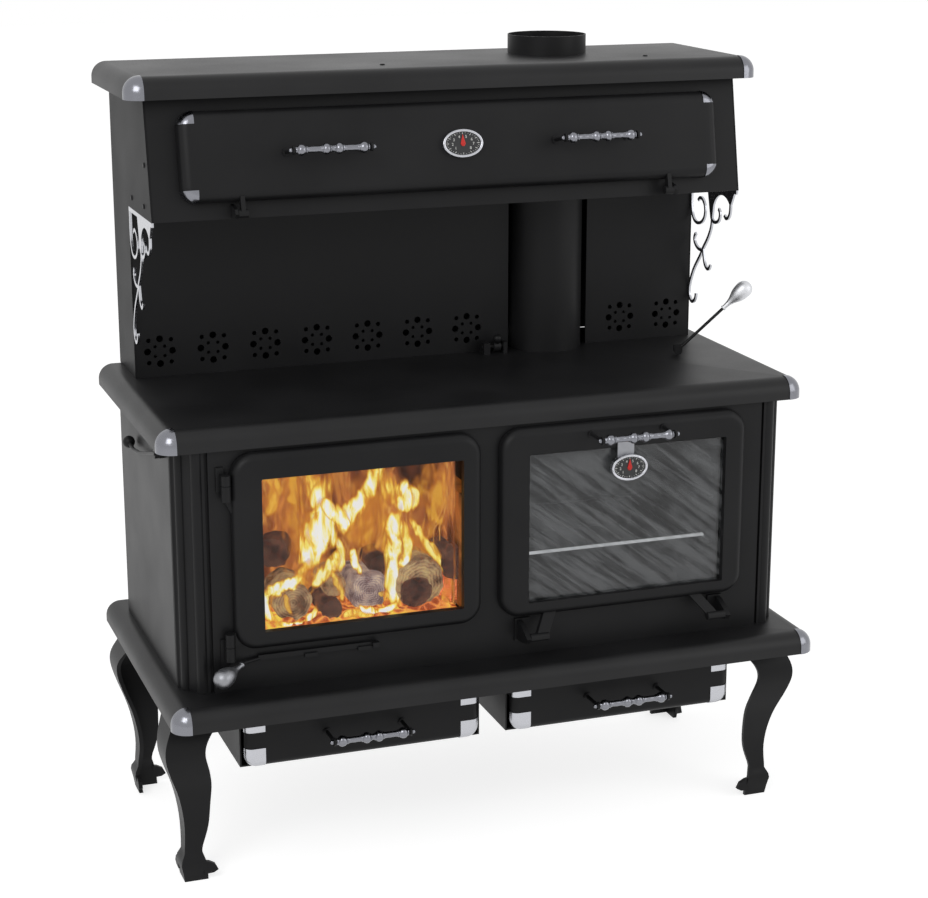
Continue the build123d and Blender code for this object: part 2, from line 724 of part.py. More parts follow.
def dial_needle(plane):
    """Pointer turning on the stem, just clear of the dial."""
    with BuildPart() as needle:
        with BuildSketch(shifted(plane, 0, 0, DIAL_DEPTH - DIAL_RECESS + 0.6)):
            with BuildLine():
                Polyline((-1.6, -6), (1.6, -6), (1.1, 17), (0, 19), (-1.1, 17), close=True)
            make_face()
            Circle(3.4)
            Circle(STEM_RADIUS + RUNNING_FIT, mode=Mode.SUBTRACT)
        extrude(amount=1)
    return needle.part


# ---------------------------------------------------------------- glazed doors


def door_plane(x_span):
    """Plane on the back of a door, centred on it."""
    return facing_front(sum(x_span) / 2, DOOR_BACK, (DOOR_BOTTOM + DOOR_TOP) / 2)


def window_plane(window):
    """Plane on the back of a door, centred on its window."""
    centre_x = (window["left"] + window["right"]) / 2
    centre_z = (window["bottom"] + window["top"]) / 2
    return facing_front(centre_x, DOOR_BACK, centre_z)


def glazed_frame(x_span, window):
    """Cast door frame with its window, the rebate behind it and the strip that holds the glass."""
    plane = door_plane(x_span)
    seen = window_plane(window)
    width = window["right"] - window["left"]
    height = window["top"] - window["bottom"]
    outside = (x_span[1] - x_span[0], DOOR_TOP - DOOR_BOTTOM)
    with BuildPart() as frame:
        add(rolled_pan(plane, *outside, DOOR_THICKNESS, DOOR_CORNER, DOOR_ROLL))
        with BuildSketch(seen):
            RectangleRounded(width, height, 3)
        extrude(amount=DOOR_THICKNESS, mode=Mode.SUBTRACT)
        with BuildSketch(seen):
            RectangleRounded(width + 2 * GLASS_LAP, height + 2 * GLASS_LAP, 5)
        extrude(amount=GLASS_REBATE, mode=Mode.SUBTRACT)
        with BuildSketch(shifted(seen, 0, 0, 1)):
            Rectangle(width + 2 * GLASS_LAP, height + 2 * GLASS_LAP)
            Rectangle(width + 4, height + 4, mode=Mode.SUBTRACT)
        extrude(amount=GLASS_REBATE - GLASS_THICKNESS - 1)
    return frame.part


def glass_pane(window):
    """Ceramic glass pane in the rebate behind the window."""
    width = window["right"] - window["left"] + 2 * GLASS_LAP - 2
    height = window["top"] - window["bottom"] + 2 * GLASS_LAP - 2
    with BuildPart() as pane:
        with BuildSketch(shifted(window_plane(window), 0, 0, GLASS_REBATE - GLASS_THICKNESS)):
            RectangleRounded(width, height, 4)
        extrude(amount=GLASS_THICKNESS)
    return pane.part


GASKET = dict(inset=12, width=8, groove=5, proud=1.5)


def gasket_ring(plane, x_span, start, amount, mode):
    """Ring that follows the door's outline, drawn at a depth behind or in the door's back."""
    width = x_span[1] - x_span[0] - 2 * GASKET["inset"]
    height = DOOR_TOP - DOOR_BOTTOM - 2 * GASKET["inset"]
    corner = DOOR_CORNER - GASKET["inset"]
    inside = 2 * GASKET["width"]
    with BuildSketch(shifted(plane, 0, 0, start)) as ring:
        RectangleRounded(width, height, corner)
        RectangleRounded(width - inside, height - inside, corner - GASKET["width"], mode=Mode.SUBTRACT)
    extrude(ring.sketch, amount=amount, mode=mode)


fire_plane = door_plane(FIRE_DOOR_X)
pivot_x, pivot_y = FIRE_PIVOT


def knuckle(z_span, radius, mode=Mode.ADD):
    """Round boss on the fire door's hinge line."""
    with BuildSketch(Plane.XY.offset(z_span[0])) as boss:
        with Locations(FIRE_PIVOT):
            Circle(radius)
    extrude(boss.sketch, amount=z_span[1] - z_span[0], mode=mode)


LEAF_REACH = 19
LEAF_DEPTH = (pivot_y + 3, pivot_y + 11)
GUSSET = ((-3, 737), (LEAF_REACH, 737), (LEAF_REACH, 700), (10, 712))

with BuildPart() as fire_door_frame:
    add(glazed_frame(FIRE_DOOR_X, FIRE_WINDOW))
    gasket_ring(fire_plane, FIRE_DOOR_X, 0, GASKET["groove"], Mode.SUBTRACT)
    for fixed, moving in FIRE_KNUCKLES:
        add(upright_box((pivot_x, pivot_x + LEAF_REACH), LEAF_DEPTH, moving))
        knuckle(moving, KNUCKLE_RADIUS)
        knuckle(moving, PIN_RADIUS + RUNNING_FIT, Mode.SUBTRACT)
    # gusset under the upper knuckle
    with BuildSketch(facing_front(0, LEAF_DEPTH[0], 0)):
        with BuildLine():
            Polyline(*[(pivot_x + reach, height) for reach, height in GUSSET], close=True)
        make_face()
    extrude(amount=LEAF_DEPTH[0] - LEAF_DEPTH[1])
keep("fire_door_frame", fire_door_frame.part)
keep("fire_door_glass", glass_pane(FIRE_WINDOW))

with BuildPart() as fire_door_gasket:
    gasket_ring(fire_plane, FIRE_DOOR_X, -GASKET["proud"], GASKET["groove"] + GASKET["proud"], Mode.ADD)
keep("fire_door_gasket", fire_door_gasket.part)

with BuildPart() as fire_door_hinge_lugs:
    for fixed, moving in FIRE_KNUCKLES:
        knuckle(fixed, KNUCKLE_RADIUS)
        knuckle((min(fixed + moving), max(fixed + moving)), PIN_RADIUS)
        add(upright_box((pivot_x - KNUCKLE_RADIUS, pivot_x + 5), (pivot_y, FRONT_FACE), fixed))
        screwed_plate = (min(fixed) - 14, max(fixed) + 12)
        add(upright_box((pivot_x - 15, pivot_x - 1), (FRONT_FACE - 4, FRONT_FACE), screwed_plate))
keep("fire_door_hinge_lugs", fire_door_hinge_lugs.part)

oven_y, oven_z = OVEN_PIVOT
OVEN_HANDLE_Z = 800
OVEN_STRAP = (24, 10)
oven_face = facing_front(OVEN_DOOR_CENTRE, DOOR_FACE, OVEN_HANDLE_Z)


def cross_boss(x_span, pivot, radius, mode=Mode.ADD):
    """Round boss or bore along X on a hinge line given as (y, z)."""
    with BuildSketch(Plane.YZ.offset(x_span[0])) as boss:
        with Locations(pivot):
            Circle(radius)
    extrude(boss.sketch, amount=x_span[1] - x_span[0], mode=mode)


with BuildPart() as oven_door_frame:
    add(glazed_frame(OVEN_DOOR_X, OVEN_WINDOW))
    add(handle_posts(oven_face))
    for side in (-1, 1):
        barrel = OVEN_DOOR_CENTRE + side * OVEN_BARREL_OFFSET
        # strap from the bottom edge of the door, outwards, forwards and down to the barrel
        with BuildSketch(Plane.XY.offset(DOOR_BOTTOM + 6)):
            with Locations((barrel - side * 32, -252)):
                Rectangle(*OVEN_STRAP)
        with BuildSketch(Plane.XY.offset(oven_z)):
            with Locations((barrel - side * 4, oven_y)):
                Rectangle(*OVEN_STRAP)
        loft()
        half = OVEN_BARREL_LENGTH / 2
        cross_boss((barrel - half, barrel + half), OVEN_PIVOT, OVEN_BARREL_RADIUS)
        bore = (barrel - half - 6, barrel + half + 6)
        cross_boss(bore, OVEN_PIVOT, PIN_RADIUS + RUNNING_FIT, Mode.SUBTRACT)
keep("oven_door_frame", oven_door_frame.part)
keep("oven_door_glass", glass_pane(OVEN_WINDOW))
keep("oven_door_grip", beaded_grip(oven_face))

OVEN_CHEEK = (
    ((FRONT_FACE, 410), (FRONT_FACE, 450), (-252, 448), (-280, 436))
    + ((-294, 427), (-286, 417), (-262, 412))
)
CHEEK_WIDTH = 9
with BuildPart() as oven_hinge_lugs:
    for side in (-1, 1):
        barrel = OVEN_DOOR_CENTRE + side * OVEN_BARREL_OFFSET
        inner = barrel + side * (OVEN_BARREL_LENGTH / 2 + 0.5)
        cheek = sorted((inner, inner + side * CHEEK_WIDTH))
        add(side_profile(OVEN_CHEEK, cheek))
        foot = sorted((inner - side * 16, inner + side * 14))
        add(upright_box(foot, (FRONT_FACE - 5, FRONT_FACE), (408, 452)))
        pin = sorted((inner + side * CHEEK_WIDTH, barrel - side * (OVEN_BARREL_LENGTH / 2 + 1)))
        cross_boss(pin, OVEN_PIVOT, PIN_RADIUS)
keep("oven_hinge_lugs", oven_hinge_lugs.part)

# Oven thermometer: an oval dial hung on a tab from the frame above the window
oven_dial = facing_front(250, DOOR_FACE - 2, 732)
TAB = dict(width=33, bottom=740, top=784, thickness=2)
with BuildPart() as oven_thermometer:
    add(dial_case(oven_dial, *OVEN_DIAL))
    with BuildSketch(facing_front(244, DOOR_FACE, (TAB["bottom"] + TAB["top"]) / 2)):
        Rectangle(TAB["width"], TAB["top"] - TAB["bottom"])
    extrude(amount=TAB["thickness"])
keep("oven_thermometer", oven_thermometer.part)
keep("oven_thermometer_needle", dial_needle(oven_dial))

# ---------------------------------------------------------------- warming cabinet door

warming_plane = shifted(SLANT, 0, WARMING_DOOR["centre"], 1)
PAN_SIZE = (WARMING_DOOR["width"], WARMING_DOOR["height"])
PAN_FORM = (WARMING_DOOR["depth"] - 1, WARMING_DOOR["corner"], WARMING_DOOR["roll"])
warming_face = shifted(SLANT, 0, -107, WARMING_DOOR["depth"])
WARMING_GRIP_X = 258.5
STRAP = ((-65.5, 1207), (-57, 1239), (-46, 1232), (-50.5, 1207))
STRAP_WIDTH = 8
WARMING_BARREL = 18
PAN_WALL = 4

with BuildPart() as warming_door_pan:
    add(rolled_pan(warming_plane, *PAN_SIZE, *PAN_FORM))
    # hollow sheet pan, open at the back
    inner_size = [size - 2 * PAN_WALL for size in PAN_SIZE]
    inner_form = [size - PAN_WALL for size in PAN_FORM]
    add(rolled_pan(warming_plane, *inner_size, *inner_form), mode=Mode.SUBTRACT)
    for side in (-1, 1):
        add(handle_posts(shifted(warming_face, side * WARMING_GRIP_X, 0)))
        centre = side * WARMING_HINGE_X
        add(side_profile(STRAP, (centre - STRAP_WIDTH / 2, centre + STRAP_WIDTH / 2)))
        span = (centre - WARMING_BARREL / 2, centre + WARMING_BARREL / 2)
        cross_boss(span, WARMING_PIVOT, WARMING_BARREL_RADIUS)
        cross_boss(span, WARMING_PIVOT, PIN_RADIUS + RUNNING_FIT, Mode.SUBTRACT)
keep("warming_door_pan", warming_door_pan.part)
caps = pan_corner_skins(warming_plane, *PAN_SIZE, *PAN_FORM, WARMING_CAP_REACH)
keep("warming_door_corner_caps", caps)

with BuildPart() as warming_door_grips:
    for side in (-1, 1):
        add(beaded_grip(shifted(warming_face, side * WARMING_GRIP_X, 0)))
keep("warming_door_grips", warming_door_grips.part)


def face_y(height):
    """Where the cabinet's slanted face stands at a height."""
    return CABINET_BOTTOM_FRONT[0] + (height - CABINET_FLOOR) * face_run / face_rise


WARMING_CHEEK = ((face_y(1220), 1220), (face_y(1197), 1197), (-60, 1198.5), (-66.5, 1207), (-60, 1215))
with BuildPart() as warming_hinge_lugs:
    for side in (-1, 1):
        inner = side * (WARMING_HINGE_X + WARMING_BARREL / 2 + 0.5)
        add(side_profile(WARMING_CHEEK, sorted((inner, inner + side * 6))))
        pin = sorted((inner + side * 6, side * (WARMING_HINGE_X - WARMING_BARREL / 2 - 1)))
        cross_boss(pin, WARMING_PIVOT, PIN_RADIUS)
keep("warming_hinge_lugs", warming_hinge_lugs.part)

warming_dial = shifted(SLANT, 2, -106, WARMING_DOOR["depth"])
keep("warming_thermometer", dial_case(warming_dial, *WARMING_DIAL))
keep("warming_thermometer_needle", dial_needle(warming_dial))

# ---------------------------------------------------------------- drawers under the base

HOUSING_BOTTOM = 222
TRAY_BOTTOM = 227
TRAY_TOP = 322
TRAY_WALL = 2.5
DRAWER_PAN = (DRAWER_FRONT_WIDTH, DRAWER_FRONT_HEIGHT, DRAWER_FRONT_THICKNESS, 22, 14)
drawer_back = DRAWER_FRONT_FACE + DRAWER_FRONT_THICKNESS

for side, centre in DRAWER_X.items():
    front_plane = facing_front(centre, drawer_back, DRAWER_FRONT_BOTTOM + DRAWER_FRONT_HEIGHT / 2)
    face = shifted(front_plane, 0, 0, DRAWER_FRONT_THICKNESS)
    with BuildPart() as drawer_front:
        add(rolled_pan(front_plane, *DRAWER_PAN))
        add(handle_posts(face))
    keep(f"{side}_drawer_front", drawer_front.part)
    keep(f"{side}_drawer_corner_caps", pan_corner_skins(front_plane, *DRAWER_PAN, DRAWER_CAP_REACH))
    keep(f"{side}_drawer_grip", beaded_grip(face))
    with BuildPart() as tray:
        half = DRAWER_FRONT_WIDTH / 2 - 6
        y_span = (drawer_back, drawer_back + DRAWER_DEPTH)
        add(upright_box((centre - half, centre + half), y_span, (TRAY_BOTTOM, TRAY_TOP)))
        add(
            upright_box(
                (centre - half + TRAY_WALL, centre + half - TRAY_WALL),
                (y_span[0] + TRAY_WALL, y_span[1] - TRAY_WALL),
                (TRAY_BOTTOM + TRAY_WALL, TRAY_TOP + 1),
            ),
            mode=Mode.SUBTRACT,
        )
    keep(f"{side}_drawer_tray", tray.part)

with BuildPart() as drawer_housings:
    for centre in DRAWER_X.values():
        half = HOUSING_WIDTH / 2
        y_span = (drawer_back + 1, drawer_back + DRAWER_DEPTH + 12)
        add(upright_box((centre - half, centre + half), y_span, (HOUSING_BOTTOM, BASE_UNDERSIDE)))
        add(
            upright_box(
                (centre - half + HOUSING_WALL, centre + half - HOUSING_WALL),
                (y_span[0] - 1, y_span[1] - HOUSING_WALL),
                (HOUSING_BOTTOM + HOUSING_WALL, BASE_UNDERSIDE + 1),
            ),
            mode=Mode.SUBTRACT,
        )
keep("drawer_housings", drawer_housings.part)

# ---------------------------------------------------------------- air slide, levers and dampers


def teardrop_knob(start, aim, length, bulb, neck):
    """Turned knob that swells from a narrow neck to a round bulb along a direction."""
    shoulder = length - bulb
    slant = bulb * sqrt(0.5)
    with BuildPart() as knob:
        with BuildSketch(Plane.XZ):
            with BuildLine():
                Line((0, 0), (neck, 0))
                Bezier((neck, 0), (neck, 0.55 * shoulder), (bulb, 0.5 * shoulder), (bulb, shoulder))
                ThreePointArc((bulb, shoulder), (slant, shoulder + slant), (0, length))
                Line((0, length), (0, 0))
            make_face()
        revolve(axis=Axis.Z)
    return knob.part.moved(Plane(origin=start, z_dir=Vector(*aim)).location)


SLIDE_BAR = dict(left=-455, right=-231, back=-242, front=-246, bottom=434, top=443)
AIR_KNOB_START = (-486, -250, 431)
AIR_KNOB_AIM = (-41, -25, -13)
GUIDE_X = (-370, -270)
GUIDE_WIDTH = 24

with BuildPart() as air_slide:
    bar = SLIDE_BAR
    height = (bar["bottom"], bar["top"])
    add(upright_box((bar["left"], bar["right"]), (bar["front"], bar["back"]), height))
    # stop tab at the right end
    add(upright_box((bar["right"] - 12, bar["right"]), (bar["front"] - 8, bar["front"]), height))
    elbow = Vector(*AIR_KNOB_START) - Vector(*AIR_KNOB_AIM).normalized() * 8
    add(wire((bar["left"] + 3, -244, 437), elbow, 3))
    with Locations(elbow):
        Sphere(3)
    add(wire(elbow, AIR_KNOB_START, 3))
keep("air_slide", air_slide.part)
keep("air_slide_knob", teardrop_knob(AIR_KNOB_START, AIR_KNOB_AIM, 67.5, 17.5, 4.5))

with BuildPart() as air_slide_guides:
    for x in GUIDE_X:
        add(upright_box((x, x + GUIDE_WIDTH), (-250, FRONT_FACE), (430, 433.6)))
        add(upright_box((x, x + GUIDE_WIDTH), (-250, -246.4), (430, 437)))
keep("air_slide_guides", air_slide_guides.part)

# Oven damper lever: leans to the right and a little forward from a clevis on the cooktop
DAMPER_FOOT = (465, 15, COOKTOP["top"])
DAMPER_TIP = (610, -25.5, 1008)
damper_run = Vector(DAMPER_TIP[0] - DAMPER_FOOT[0], DAMPER_TIP[1] - DAMPER_FOOT[1], 0)
damper_aim = Vector(*DAMPER_TIP) - Vector(*DAMPER_FOOT)
PIVOT_RISE = 10
damper_pivot = Vector(*DAMPER_FOOT) + damper_aim * (PIVOT_RISE / damper_aim.Z)
damper_heading = damper_run.normalized()
damper_axis = damper_heading.cross(Vector(0, 0, -1))
damper_unit = damper_aim.normalized()
KNOB_LENGTH = 72
damper_length = (Vector(*DAMPER_TIP) - damper_pivot).length - KNOB_LENGTH
damper_knob_start = damper_pivot + damper_unit * damper_length
CHEEK_GAP = 4
CHEEK = 4


def swing_plane(offset):
    """Vertical plane that the damper lever swings in, moved along the lever's axis."""
    origin = damper_pivot + damper_axis * offset
    return Plane(origin=origin, x_dir=damper_heading, z_dir=damper_axis)


with BuildPart() as damper_lever:
    with BuildSketch(swing_plane(-CHEEK_GAP + 0.5)):
        Circle(7)
    extrude(amount=2 * CHEEK_GAP - 1)
    add(wire(damper_pivot + damper_unit * 5, damper_knob_start, 3))
    with BuildSketch(swing_plane(-CHEEK_GAP)):
        Circle(3 + RUNNING_FIT)
    extrude(amount=2 * CHEEK_GAP, mode=Mode.SUBTRACT)
keep("damper_lever", damper_lever.part)
keep("damper_knob", teardrop_knob(damper_knob_start, damper_unit, KNOB_LENGTH, 16.5, 4.5))

BYPASS_PIVOT = (150, 880)
BYPASS_BLOCKS = ((114, 127), (155, 163))
BYPASS_ARM_X = 143
BYPASS_BALL = (BYPASS_ARM_X, BYPASS_PIVOT[0] - 8, 897)
SIDE_PIVOT = (-150, 806)
SIDE_LEVER_X = -606
SIDE_BALL = (SIDE_LEVER_X, 104, 763)

with BuildPart() as lever_brackets:
    # clevis of the damper lever
    for offset in (-CHEEK_GAP - CHEEK, CHEEK_GAP):
        with BuildSketch(swing_plane(offset)):
            Circle(8)
            with Locations((0, -PIVOT_RISE / 2)):
                Rectangle(16, PIVOT_RISE)
        extrude(amount=CHEEK)
    with BuildSketch(swing_plane(-CHEEK_GAP - CHEEK)):
        Circle(3)
    extrude(amount=2 * (CHEEK_GAP + CHEEK))
    # bearing blocks of the bypass handle
    for block in BYPASS_BLOCKS:
        add(upright_box(block, (BYPASS_PIVOT[0] - 11, BYPASS_PIVOT[0] + 11), (COOKTOP["top"], 889)))
        cross_boss(block, BYPASS_PIVOT, 5 + RUNNING_FIT, Mode.SUBTRACT)
    # boss and pin of the side lever
    cross_boss((-601.4, -BODY_HALF_WIDTH), SIDE_PIVOT, 9)
    cross_boss((-611, -BODY_HALF_WIDTH), SIDE_PIVOT, PIN_RADIUS)
keep("lever_brackets", lever_brackets.part)

# Bypass handle: a shaft in two blocks with a short arm and a ball
with BuildPart() as bypass_handle:
    cross_boss((BYPASS_BLOCKS[0][0] - 2, BYPASS_BLOCKS[1][1] + 1), BYPASS_PIVOT, 5)
    cross_boss((BYPASS_ARM_X - 7, BYPASS_ARM_X + 7), BYPASS_PIVOT, 11)
    add(wire((BYPASS_ARM_X, *BYPASS_PIVOT), BYPASS_BALL, 6))
    with Locations(BYPASS_BALL):
        Sphere(9)
keep("bypass_handle", bypass_handle.part)

# Side lever: a bent rod that runs back along the left side to a small round knob
SIDE_ROUTE = ((-150, 806), (0, 768), (60, 759), (96, 762))
with BuildPart() as side_lever:
    with BuildLine() as route:
        FilletPolyline(*[(SIDE_LEVER_X, y, z) for y, z in SIDE_ROUTE], radius=60)
    with BuildSketch(Plane(origin=route.line @ 0, z_dir=route.line % 0)):
        Circle(3.5)
    sweep()
    with Locations(SIDE_BALL):
        Sphere(11.5)
    cross_boss((-610, -602), SIDE_PIVOT, 8.5)
    cross_boss((-611, -601), SIDE_PIVOT, PIN_RADIUS + RUNNING_FIT, Mode.SUBTRACT)
keep("side_lever", side_lever.part)

# ---------------------------------------------------------------- screws

SCREW_HEAD = (5, 2.2)
SIDE_SCREWS = ((14, 1291), (139, 1215), (30, 1215))
SHELF_SCREWS = ((-118, 54), (410, 54))


def dome_screw(plane):
    """Low domed screw head standing on a face."""
    radius, height = SCREW_HEAD
    with BuildPart() as screw:
        with BuildSketch(plane):
            Circle(radius)
        extrude(amount=height)
        chamfer(screw.faces().sort_by(Axis(plane.origin, plane.z_dir))[-1].edges(), height * 0.6)
    return screw.part


with BuildPart() as panel_screws:
    for y, z in SIDE_SCREWS:
        for side in (-1, 1):
            add(dome_screw(Plane(origin=(side * UPPER_HALF_WIDTH, y, z), z_dir=(side, 0, 0))))
    for x, y in SHELF_SCREWS:
        add(dome_screw(Plane.XY.offset(SHELF["top"]).shift_origin((x, y, SHELF["top"]))))
keep("panel_screws", panel_screws.part)
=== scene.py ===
"""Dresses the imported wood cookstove: stove paint, plated trim, glass, brick, logs and fire.

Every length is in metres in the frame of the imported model: +X is the stove's right seen from the
front, +Y its back and +Z up, with the floor at zero.
"""

import json
import logging
import math
from dataclasses import dataclass, field
from enum import Enum

import bmesh
import bpy
import numpy as np
from bpy.types import Material, Node, NodeSocket, NodeTree, Object
from mathutils import Matrix, Vector

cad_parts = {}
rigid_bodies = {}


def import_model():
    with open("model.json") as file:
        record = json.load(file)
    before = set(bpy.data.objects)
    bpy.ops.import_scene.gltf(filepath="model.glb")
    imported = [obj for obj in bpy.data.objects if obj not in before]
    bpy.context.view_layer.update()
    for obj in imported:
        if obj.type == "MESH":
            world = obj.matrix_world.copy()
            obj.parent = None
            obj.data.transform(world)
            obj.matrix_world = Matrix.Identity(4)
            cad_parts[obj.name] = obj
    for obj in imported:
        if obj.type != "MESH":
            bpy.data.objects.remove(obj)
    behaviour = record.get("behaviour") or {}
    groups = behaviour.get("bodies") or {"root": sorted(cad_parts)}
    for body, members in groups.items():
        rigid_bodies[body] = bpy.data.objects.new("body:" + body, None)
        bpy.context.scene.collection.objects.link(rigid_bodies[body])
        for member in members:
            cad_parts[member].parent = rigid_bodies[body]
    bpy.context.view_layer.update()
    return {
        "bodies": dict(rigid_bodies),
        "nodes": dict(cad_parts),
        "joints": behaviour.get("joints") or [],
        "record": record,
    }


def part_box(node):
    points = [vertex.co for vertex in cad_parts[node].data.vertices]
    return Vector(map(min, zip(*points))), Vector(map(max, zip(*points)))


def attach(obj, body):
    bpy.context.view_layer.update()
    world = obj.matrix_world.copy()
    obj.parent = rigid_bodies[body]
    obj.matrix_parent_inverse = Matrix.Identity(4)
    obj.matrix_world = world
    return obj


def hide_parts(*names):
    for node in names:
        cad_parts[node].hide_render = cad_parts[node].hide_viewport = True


LOG = logging.getLogger("cookstove")
MM = 0.001
# Edges sharper than the angle stay sharp, and points nearer than the distance become one
SMOOTH_ANGLE = math.radians(32)
MERGE = 1e-6
# What the pieces' own coordinates and the flames' own heat are called in their meshes
CHART = "surface"
HEAT = "flame_heat"
# Blender's names for the kinds of node that come again and again
NOISE = "ShaderNodeTexNoise"
CELLS = "ShaderNodeTexVoronoi"
COORDS = "ShaderNodeTexCoord"
CHARTED = "ShaderNodeUVMap"
SPLIT = "ShaderNodeSeparateXYZ"
STRETCH = "ShaderNodeMapping"
RANGE = "ShaderNodeMapRange"
MATH = "ShaderNodeMath"
RAMP = "ShaderNodeValToRGB"
MIX = "ShaderNodeMix"
BUMP = "ShaderNodeBump"
# What gives light and has no surface of its own
LIGHT_ONLY = {"Base Color": (0, 0, 0, 1), "Specular IOR Level": 0.0, "Emission Strength": 1.0}


# ---------------------------------------------------------------- colours, nodes and meshes


def linear(hex_colour: str) -> tuple[float, float, float, float]:
    """Turns an sRGB hex value into the linear colour that a shader socket holds.

    Args:
        hex_colour: Six hex digits after a hash.

    Returns:
        Red, green, blue and a full alpha.
    """
    parts = np.array([int(hex_colour[i : i + 2], 16) for i in (1, 3, 5)]) / 255
    lit = np.where(parts <= 0.04045, parts / 12.92, ((parts + 0.055) / 1.055) ** 2.4)
    return (*lit.tolist(), 1.0)


def set_up(
    node: Node,
    settings: dict[str | int, object],
    links: dict[str | int, Node | NodeSocket],
) -> None:
    """Sets the values of a node and links what feeds it.

    Args:
        node: The node.
        settings: Values by the name or number of an input, a property's name, or a ramp's stops.
        links: What feeds each input, by its name or number: an output, or a node's first output.
    """
    for key, value in settings.items():
        if key == "stops":
            elements = node.color_ramp.elements
            while len(elements) < len(value):
                elements.new(0.5)
            for element, (position, colour) in zip(elements, value):
                element.position = position
                element.color = linear(colour)
        elif isinstance(key, int) or key in node.inputs:
            node.inputs[key].default_value = value
        else:
            setattr(node, key, value)
    for key, source in links.items():
        socket = source.outputs[0] if isinstance(source, Node) else source
        node.id_data.links.new(socket, node.inputs[key])


def between(start: float, end: float, low: float = 0.0, high: float = 1.0) -> dict[str, float]:
    """Settings of a range node: what runs from start to end comes out as low to high."""
    return {"From Min": start, "From Max": end, "To Min": low, "To Max": high}


def add_node(
    tree: NodeTree,
    kind: str,
    settings: dict[str | int, object] | None = None,
    links: dict[str | int, Node | NodeSocket] | None = None,
) -> Node:
    """Adds one node to a tree and sets it up.

    Args:
        tree: The node tree it goes into.
        kind: The node's type name.
        settings: Its values, as set_up takes them.
        links: What feeds its inputs, as set_up takes it.

    Returns:
        The new node.
    """
    made = tree.nodes.new(kind)
    set_up(made, settings or {}, links or {})
    return made


def stand(made: Object) -> Object:
    """Puts a new object into the scene and hands it back."""
    bpy.context.scene.collection.objects.link(made)
    return made


@dataclass
class Surface:
    """A mesh held in arrays: points, four-cornered faces and two surface coordinates per point."""

    points: np.ndarray
    faces: np.ndarray
    uv: np.ndarray
    heat: np.ndarray | None = None

    @classmethod
    def grid(cls, points: np.ndarray) -> "Surface":
        """Makes the faces between the neighbours of a grid of points.

        Args:
            points: An array of rows by columns by three.

        Returns:
            The surface, whose coordinates run 0 to 1 along the rows and the columns.
        """
        rows, columns = points.shape[:2]
        index = np.arange(rows * columns).reshape(rows, columns)
        quads = np.stack([index[:-1, :-1], index[1:, :-1], index[1:, 1:], index[:-1, 1:]], axis=-1)
        shares = np.linspace(0, 1, rows), np.linspace(0, 1, columns)
        across, along = np.meshgrid(*shares, indexing="ij")
        uv = np.stack([across, along], axis=-1)
        return cls(points.reshape(-1, 3), quads.reshape(-1, 4), uv.reshape(-1, 2))

    def moved(self, place: Matrix) -> "Surface":
        """The same surface turned and shifted by a matrix."""
        matrix = np.array(place)
        points = self.points @ matrix[:3, :3].T + matrix[:3, 3]
        return Surface(points, self.faces, self.uv, self.heat)

    @classmethod
    def joined(cls, surfaces: list["Surface"]) -> "Surface":
        """One surface that holds several."""
        starts = np.cumsum([0] + [len(s.points) for s in surfaces[:-1]])
        faces = np.concatenate([s.faces + start for s, start in zip(surfaces, starts)])
        heat = [np.zeros(len(s.points)) if s.heat is None else s.heat for s in surfaces]
        points = np.concatenate([s.points for s in surfaces])
        return cls(points, faces, np.concatenate([s.uv for s in surfaces]), np.concatenate(heat))

    def to_object(self, name: str, finish: "Finish", closed: bool = True) -> Object:
        """Puts the surface into a mesh object that stands at the origin.

        Args:
            name: The piece's name.
            finish: The finish it gets.
            closed: Whether its shells are closed, so that their faces can be turned outwards.

        Returns:
            The new object, in the scene.
        """
        mesh = bpy.data.meshes.new(name)
        mesh.vertices.add(len(self.points))
        mesh.vertices.foreach_set("co", self.points.astype(np.float32).ravel())
        mesh.loops.add(self.faces.size)
        mesh.loops.foreach_set("vertex_index", self.faces.astype(np.int32).ravel())
        mesh.polygons.add(len(self.faces))
        mesh.polygons.foreach_set("loop_start", np.arange(0, self.faces.size, 4, dtype=np.int32))
        mesh.update(calc_edges=True)
        layer = mesh.uv_layers.new(name=CHART)
        layer.data.foreach_set("uv", self.uv[self.faces.ravel()].astype(np.float32).ravel())
        if self.heat is not None:
            attribute = mesh.attributes.new(HEAT, "FLOAT", "POINT")
            attribute.data.foreach_set("value", self.heat.astype(np.float32))
        work = bmesh.new()
        work.from_mesh(mesh)
        bmesh.ops.remove_doubles(work, verts=work.verts, dist=MERGE)
        bmesh.ops.dissolve_degenerate(work, edges=work.edges, dist=MERGE)
        if closed:
            bmesh.ops.recalc_face_normals(work, faces=work.faces)
        work.to_mesh(mesh)
        work.free()
        mesh.shade_smooth()
        mesh.set_sharp_from_angle(angle=SMOOTH_ANGLE)
        mesh.materials.append(finish.material())
        return stand(bpy.data.objects.new(name, mesh))


def through(points: np.ndarray, per_span: int) -> np.ndarray:
    """Smooth curve through a few points: a Catmull-Rom spline, cubic between neighbours.

    Args:
        points: The points, one per row.
        per_span: How many steps each span is divided into.

    Returns:
        The points of the curve, one per row.
    """
    p = np.vstack([2 * points[0] - points[1], points, 2 * points[-1] - points[-2]])
    t = np.linspace(0, 1, per_span, endpoint=False)[None, :, None]
    a, b, c, d = (p[k : len(p) - 3 + k][:, None, :] for k in range(4))
    spans = 0.5 * (
        2 * b + (c - a) * t + (2 * a - 5 * b + 4 * c - d) * t**2 + (3 * b - a - 3 * c + d) * t**3
    )
    return np.vstack([spans.reshape(-1, points.shape[1]), points[-1:]])


